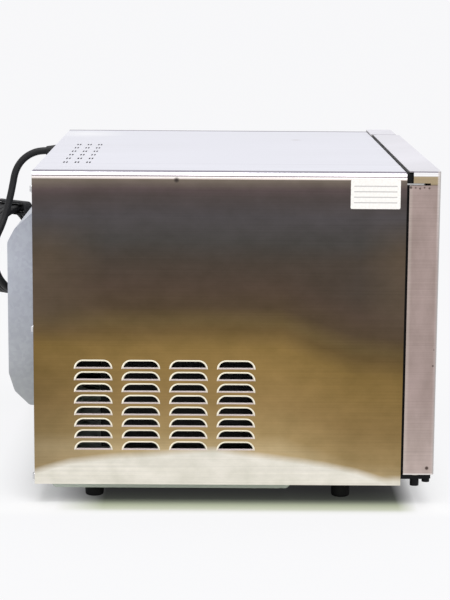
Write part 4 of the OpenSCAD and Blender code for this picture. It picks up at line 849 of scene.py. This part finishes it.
def makeLead():
    steps = int(lead["sweep"] / lead["stepAngle"])
    coil = [coilPoint(i / steps) for i in range(steps + 1)]
    route = smoothRoute(lead["out"] + coil + lead["tail"], lead["smooth"])
    curve = bpy.data.curves.new("mainsLead", "CURVE")
    curve.dimensions = "3D"
    curve.bevel_depth = lead["diameter"] / 2
    curve.bevel_resolution = lead["roundness"]
    curve.use_fill_caps = True
    spline = curve.splines.new("POLY")
    spline.points.add(len(route) - 1)
    for point, place in zip(spline.points, route):
        point.co = (*place, 1.0)
    curve.materials.append(materials["cord_jacket"])
    obj = bpy.data.objects.new("mainsLead", curve)
    scene.collection.objects.link(obj)
    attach(obj, "cabinet")
    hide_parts("cord_lead", "cord_coil", "cord_tail")
    length = routeLength(route)
    print("mains lead length: %.3f m" % length)
    return obj, length


leadObject, leadLength = makeLead()


# helpers for the pieces made here
def newObject(name, mesh, mat, body):
    if mat:
        mesh.materials.append(mat)
    obj = bpy.data.objects.new(name, mesh)
    scene.collection.objects.link(obj)
    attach(obj, body)
    return obj


def meshFrom(name, verts, faces):
    mesh = bpy.data.meshes.new(name)
    mesh.from_pydata([tuple(v) for v in verts], [], faces)
    mesh.update()
    return mesh


def newTree(name, inputs):
    tree = bpy.data.node_groups.new(name, "GeometryNodeTree")
    tree.interface.new_socket("Geometry", in_out="INPUT", socket_type="NodeSocketGeometry")
    for label, value in inputs:
        socket = tree.interface.new_socket(label, in_out="INPUT", socket_type="NodeSocketFloat")
        socket.default_value = value
    tree.interface.new_socket("Geometry", in_out="OUTPUT", socket_type="NodeSocketGeometry")
    return tree, addNode(tree, "NodeGroupInput"), addNode(tree, "NodeGroupOutput")


def runTree(name, tree, mesh, values):
    # evaluates the tree on the mesh and gives back a plain mesh
    seed = bpy.data.objects.new(name + "Seed", mesh)
    scene.collection.objects.link(seed)
    modifier = seed.modifiers.new(name, "NODES")
    modifier.node_group = tree
    for item in tree.interface.items_tree:
        if item.in_out == "INPUT" and item.name in values:
            modifier[item.identifier] = values[item.name]
    ready = seed.evaluated_get(bpy.context.evaluated_depsgraph_get())
    made = bpy.data.meshes.new_from_object(ready)
    made.name = name
    seed.modifiers.remove(modifier)
    bpy.data.objects.remove(seed)
    return made


def roundedOutline(halfWide, halfHigh, radius, steps):
    # outline of a rectangle with rounded corners, round its own middle
    points = []
    for sideX, sideY, start in ((1, 1, 0), (-1, 1, 90), (-1, -1, 180), (1, -1, 270)):
        for k in range(steps + 1):
            a = math.radians(start + k * 90 / steps)
            points.append((sideX * (halfWide - radius) + radius * math.cos(a),
                           sideY * (halfHigh - radius) + radius * math.sin(a)))
    return points


# the tie, a hook-and-loop strap round the turns at the top of the coil
tie = {
    "width": 0.012,
    "thick": 0.0022,
    "angle": 90.0,           # place round the coil, from its free side, in degrees
    "clear": 0.0008,
    "slack": 0.0006,         # more room over the turns than beside them
    "corner": 0.004,
    "cornerSteps": 5,
}


def makeTie():
    heading, axle = coilAxes()
    angle = math.radians(tie["angle"])
    out = heading * math.cos(angle) + Vector((0, 0, 1)) * math.sin(angle)
    along = heading * -math.sin(angle) + Vector((0, 0, 1)) * math.cos(angle)
    centre = Vector(lead["coilMiddle"]) + out * lead["coilRadius"]
    halfWide = lead["coilSpread"] / 2 + lead["diameter"] / 2 + tie["clear"]
    halfHigh = lead["diameter"] / 2 + tie["clear"] + tie["slack"]
    loops = [roundedOutline(halfWide + grow, halfHigh + grow, tie["corner"] + grow, tie["cornerSteps"])
             for grow in (0.0, tie["thick"])]
    verts = []
    for side in (-1, 1):
        for loop in loops:
            for x, y in loop:
                verts.append(centre + axle * x + out * y + along * side * tie["width"] / 2)
    faces = []
    count = len(loops[0])
    for k in range(count):
        n = (k + 1) % count
        a, b, c, d = 0, count, 2 * count, 3 * count      # inner near, outer near, inner far, outer far
        faces += [(a + k, a + n, b + n, b + k), (d + k, d + n, c + n, c + k),
                  (b + k, b + n, d + n, d + k), (c + k, c + n, a + n, a + k)]
    fabric = moulded("tieFabric", (0.02, 0.02, 0.022), 0.9, scale=2200.0, depth=0.6)
    return newObject("leadTie", meshFrom("leadTie", verts, faces), fabric, "cabinet")


tieObject = makeTie()
print("tie done")

# blank label near the left side's upper front corner
label = {
    "long": 0.0497,
    "high": 0.0293,
    "fromFront": 0.0063,
    "fromTop": 0.0065,
    "thick": 0.00012,
    "sunk": 0.0001,          # its back lies this far inside the sheet's face
    "corner": 0.0012,
    "cornerSteps": 4,
    "rough": 0.45,
    "dark": colour(230, 227, 223),
    "pale": colour(240, 238, 235),
    "ruleTone": colour(120, 114, 120),
    "ruleShare": 0.55,
    "ruleHalf": 0.0215,      # half a rule's length
    "ruleThick": 0.0007,
    "ruleSoft": 0.0002,
    "firstRule": 0.0130,     # down from the casing's top
    "ruleStep": 0.0055,
    "rules": 4,
}
labelMiddle = (casing["front"] + label["fromFront"] + label["long"] / 2,
               casing["top"] - label["fromTop"] - label["high"] / 2)


def labelPaper():
    # blank form with a few ruled lines
    mat, tree, shader = newMaterial("labelPaper")
    xyz = axes(tree)
    fibre = noise(tree, 500.0, 3.0)
    paper = ramp(tree, fibre, [(0.3, label["dark"]), (0.7, label["pale"])])
    ruleEnd = label["ruleHalf"] + label["ruleSoft"]
    inside = fall(tree, gapTo(tree, xyz[1], labelMiddle[0]), label["ruleHalf"], ruleEnd)
    lines = None
    for k in range(label["rules"]):
        height = casing["top"] - label["firstRule"] - k * label["ruleStep"]
        line = fall(tree, gapTo(tree, xyz[2], height), label["ruleThick"] / 2, label["ruleThick"])
        lines = larger(tree, lines, line) if lines else line
    ruled = times(tree, times(tree, lines, inside), label["ruleShare"])
    plug(tree, blend(tree, paper, label["ruleTone"], ruled), shader.inputs["Base Color"])
    shader.inputs["Roughness"].default_value = label["rough"]
    return mat


def makeLabel():
    corners = roundedOutline(label["long"] / 2, label["high"] / 2, label["corner"], label["cornerSteps"])
    outline = [(labelMiddle[0] + y, labelMiddle[1] + z) for y, z in corners]
    count = len(outline)
    verts = [(casing["left"] - label["thick"], y, z) for y, z in outline]
    verts += [(casing["left"] + label["sunk"], y, z) for y, z in outline]
    faces = [tuple(range(count - 1, -1, -1)), tuple(range(count, 2 * count))]
    faces += [(k, (k + 1) % count, count + (k + 1) % count, count + k) for k in range(count)]
    newObject("blankLabel", meshFrom("blankLabel", verts, faces), labelPaper(), "cabinet")


makeLabel()
print("label done")

# cross-head screws, made by nodes
screw = {
    "radius": 0.0034,
    "height": 0.0019,
    "topShare": 0.62,        # the head's flat top against its foot
    "sides": 20,
    "slotWidth": 0.0008,
    "slotDepth": 0.0009,
    "slotShare": 0.95,       # the slot's length against the head's radius
}


def screwTree():
    tree, given, result = newTree("crossHeadScrews", [
        ("Head Radius", screw["radius"]), ("Head Height", screw["height"]),
        ("Slot Width", screw["slotWidth"]), ("Slot Depth", screw["slotDepth"]), ("Turn X", 0.0)])
    head = addNode(tree, "GeometryNodeMeshCone", fill_type="NGON")
    head.inputs["Vertices"].default_value = screw["sides"]
    plug(tree, given.outputs["Head Radius"], head.inputs["Radius Bottom"])
    plug(tree, times(tree, given.outputs["Head Radius"], screw["topShare"]), head.inputs["Radius Top"])
    plug(tree, given.outputs["Head Height"], head.inputs["Depth"])
    cutters = []
    for way in (0, 1):
        size = addNode(tree, "ShaderNodeCombineXYZ")
        plug(tree, times(tree, given.outputs["Head Radius"], screw["slotShare"]), size.inputs[way])
        plug(tree, given.outputs["Slot Width"], size.inputs[1 - way])
        plug(tree, times(tree, given.outputs["Slot Depth"], 2.0), size.inputs[2])
        cube = addNode(tree, "GeometryNodeMeshCube")
        plug(tree, size.outputs[0], cube.inputs["Size"])
        lift = addNode(tree, "ShaderNodeCombineXYZ")
        plug(tree, given.outputs["Head Height"], lift.inputs[2])
        move = addNode(tree, "GeometryNodeTransform")
        plug(tree, cube.outputs["Mesh"], move.inputs["Geometry"])
        plug(tree, lift.outputs[0], move.inputs["Translation"])
        cutters.append(move.outputs[0])
    cut = addNode(tree, "GeometryNodeMeshBoolean", operation="DIFFERENCE", solver="EXACT")
    plug(tree, head.outputs["Mesh"], cut.inputs["Mesh 1"])
    for cutter in cutters:
        plug(tree, cutter, cut.inputs["Mesh 2"])
    turn = addNode(tree, "ShaderNodeCombineXYZ")
    plug(tree, given.outputs["Turn X"], turn.inputs[0])
    place = addNode(tree, "GeometryNodeInstanceOnPoints")
    plug(tree, given.outputs["Geometry"], place.inputs["Points"])
    plug(tree, cut.outputs["Mesh"], place.inputs["Instance"])
    plug(tree, turn.outputs[0], place.inputs["Rotation"])
    real = addNode(tree, "GeometryNodeRealizeInstances")
    plug(tree, place.outputs[0], real.inputs[0])
    dress = addNode(tree, "GeometryNodeSetMaterial")
    plug(tree, real.outputs[0], dress.inputs["Geometry"])
    dress.inputs["Material"].default_value = materials["bright_steel"]
    plug(tree, dress.outputs[0], result.inputs[0])
    return tree


rearRows = {
    "fromEnds": 0.02,        # first and last screw, in from the cover's ends
    "offCover": 0.010,       # the rows, above and below the cover
    "perRow": 5,
    "fanInset": 0.005,       # in from the bay fan's corners
}


def makeRearScrews():
    face = casing["rear"]
    low, high = box["rear_fan_cover"]
    across = np.linspace(low[0] + rearRows["fromEnds"], high[0] - rearRows["fromEnds"], rearRows["perRow"])
    rows = (low[2] - rearRows["offCover"], high[2] + rearRows["offCover"])
    places = [(x, face, z) for z in rows for x in across]
    low, high = box["bay_fan_frame"]
    inset = rearRows["fanInset"]
    places += [(x, face, z) for x in (low[0] + inset, high[0] - inset)
               for z in (low[2] + inset, high[2] - inset)]
    seed = meshFrom("rearScrewsPoints", places, [])
    screws = runTree("rearScrews", screwTree(), seed, {"Turn X": math.radians(-90.0)})
    newObject("rearScrews", screws, None, "cabinet")


makeRearScrews()
print("screws done")

# bench top, backdrop and lamps
studio = {
    "floorSize": 30.0,
    "floorColour": (0.93, 0.93, 0.925),
    "floorDark": 0.985,
    "floorRough": 0.6,
    "backdrop": (0.935, 0.935, 0.95),
    "fadeStart": 0.75,       # where the floor starts to turn into the backdrop, from the middle
    "fadeEnd": 1.6,
    # the oven's shadow on the floor: its half sizes, its middle, how far beside it the floor pales
    "shadeHalf": (0.25, 0.19),
    "shadeMiddle": 0.01,
    "shadeReach": 0.06,
    "shadeShares": (0.30, 0.93),
    # painted shadow and painted reflection on the glossy top, by the distance left of the oven: a dark patch
    # where it mirrors the oven's underside, then the oven's pale foot
    "mirrorStart": -0.245,
    "mirrorRange": (-0.04, 0.09),
    "mirror": [(0.0, (0.08, 0.08, 0.08)), (0.29, (0.12, 0.13, 0.11)), (0.47, (0.48, 0.52, 0.38)),
               (0.58, (0.64, 0.67, 0.54)), (0.66, (0.93, 0.94, 0.92)), (0.73, (1.0, 1.0, 1.0))],
    "mirrorRear": (0.185, 0.135),
    "mirrorFront": (-0.185, -0.165),
    "mirrorRight": (0.24, 0.20),
    "worldDiffuse": 0.70,
    # place, target, size and power
    "lamps": {"topLamp": ((-0.2, 0.0, 2.4), (0, 0, 0.2), 2.2, 40.0),
              "keyLamp": ((-2.2, -1.4, 1.8), (0, 0, 0.15), 1.4, 24.0)},
}


def floorShadowAndMirror(tree, xyz):
    # tint of the painted shadow and reflection, and how much of it shows
    leftward = minus(tree, studio["mirrorStart"], xyz[0])
    tint = ramp(tree, spread(tree, leftward, *studio["mirrorRange"]), studio["mirror"])
    amount = times(tree, spread(tree, xyz[1], *studio["mirrorRear"]),
                   spread(tree, xyz[1], *studio["mirrorFront"]))
    return tint, times(tree, amount, spread(tree, xyz[0], *studio["mirrorRight"]))


def seenRays(tree, *kinds):
    # 1 for a ray of any of these kinds
    rays = addNode(tree, "ShaderNodeLightPath").outputs
    seen = rays[kinds[0]]
    for kind in kinds[1:]:
        seen = larger(tree, seen, rays[kind])
    return seen


def makeFloor():
    half = studio["floorSize"] / 2
    mesh = meshFrom("benchTop", [(-half, -half, 0), (half, -half, 0), (half, half, 0), (-half, half, 0)],
                    [(0, 1, 2, 3)])
    mat, tree, shader = newMaterial("benchTop")
    low = tuple(c * studio["floorDark"] for c in studio["floorColour"])
    paint = ramp(tree, noise(tree, 1.2, 2.0), [(0.3, low), (0.7, studio["floorColour"])])
    shader.inputs["Roughness"].default_value = studio["floorRough"]
    # away from the oven the floor pales, and far from it turns into the backdrop
    far = addNode(tree, "ShaderNodeVectorMath", operation="LENGTH")
    plug(tree, objectCoords(tree), far.inputs[0])
    xyz = axes(tree)
    besideX = minus(tree, calculate(tree, "ABSOLUTE", xyz[0]), studio["shadeHalf"][0])
    besideY = minus(tree, gapTo(tree, xyz[1], studio["shadeMiddle"]), studio["shadeHalf"][1])
    beside = larger(tree, besideX, besideY)
    near = spread(tree, beside, 0.0, studio["shadeReach"], *studio["shadeShares"])
    fade = spread(tree, far.outputs["Value"], studio["fadeStart"], studio["fadeEnd"])
    seen = seenRays(tree, "Is Camera Ray", "Is Glossy Ray")
    amount = times(tree, seen, larger(tree, near, fade))
    # painted shadow and painted reflection tint the backdrop's glow and the floor's paint
    mirror, share = floorShadowAndMirror(tree, xyz)
    backdrop = addNode(tree, "ShaderNodeEmission")
    pale = blend(tree, studio["backdrop"], tinted(tree, studio["backdrop"], mirror), share)
    plug(tree, pale, backdrop.inputs["Color"])
    plug(tree, blend(tree, paint, tinted(tree, paint, mirror), share), shader.inputs["Base Color"])
    mix = addNode(tree, "ShaderNodeMixShader")
    plug(tree, amount, mix.inputs[0])
    plug(tree, shader.outputs[0], mix.inputs[1])
    plug(tree, backdrop.outputs[0], mix.inputs[2])
    out = next(node for node in tree.nodes if node.type == "OUTPUT_MATERIAL")
    plug(tree, mix.outputs[0], out.inputs["Surface"])
    mesh.materials.append(mat)
    obj = bpy.data.objects.new("benchTop", mesh)
    scene.collection.objects.link(obj)


def makeWorld():
    world = bpy.data.worlds.new("studio")
    world.use_nodes = True
    tree = world.node_tree
    tree.nodes.clear()
    out = tree.nodes.new("ShaderNodeOutputWorld")
    seen = seenRays(tree, "Is Camera Ray", "Is Glossy Ray", "Is Transmission Ray")
    light = addNode(tree, "ShaderNodeBackground")
    light.inputs["Color"].default_value = (1.0, 1.0, 1.0, 1.0)
    light.inputs["Strength"].default_value = studio["worldDiffuse"]
    white = addNode(tree, "ShaderNodeBackground")
    white.inputs["Color"].default_value = (*studio["backdrop"], 1.0)
    white.inputs["Strength"].default_value = 1.0
    mix = addNode(tree, "ShaderNodeMixShader")
    plug(tree, seen, mix.inputs[0])
    plug(tree, light.outputs[0], mix.inputs[1])
    plug(tree, white.outputs[0], mix.inputs[2])
    plug(tree, mix.outputs[0], out.inputs["Surface"])
    scene.world = world


def makeLamp(name, place, target, size, power):
    data = bpy.data.lights.new(name, "AREA")
    data.shape = "RECTANGLE"
    data.size = data.size_y = size
    data.energy = power
    obj = bpy.data.objects.new(name, data)
    scene.collection.objects.link(obj)
    aim = (Vector(target) - Vector(place)).to_track_quat("-Z", "Y")
    obj.matrix_world = Matrix.Translation(place) @ aim.to_matrix().to_4x4()


makeFloor()
makeWorld()
for lampName, settings in studio["lamps"].items():
    makeLamp(lampName, *settings)
scene.view_settings.view_transform = "Standard"
print("studio done")

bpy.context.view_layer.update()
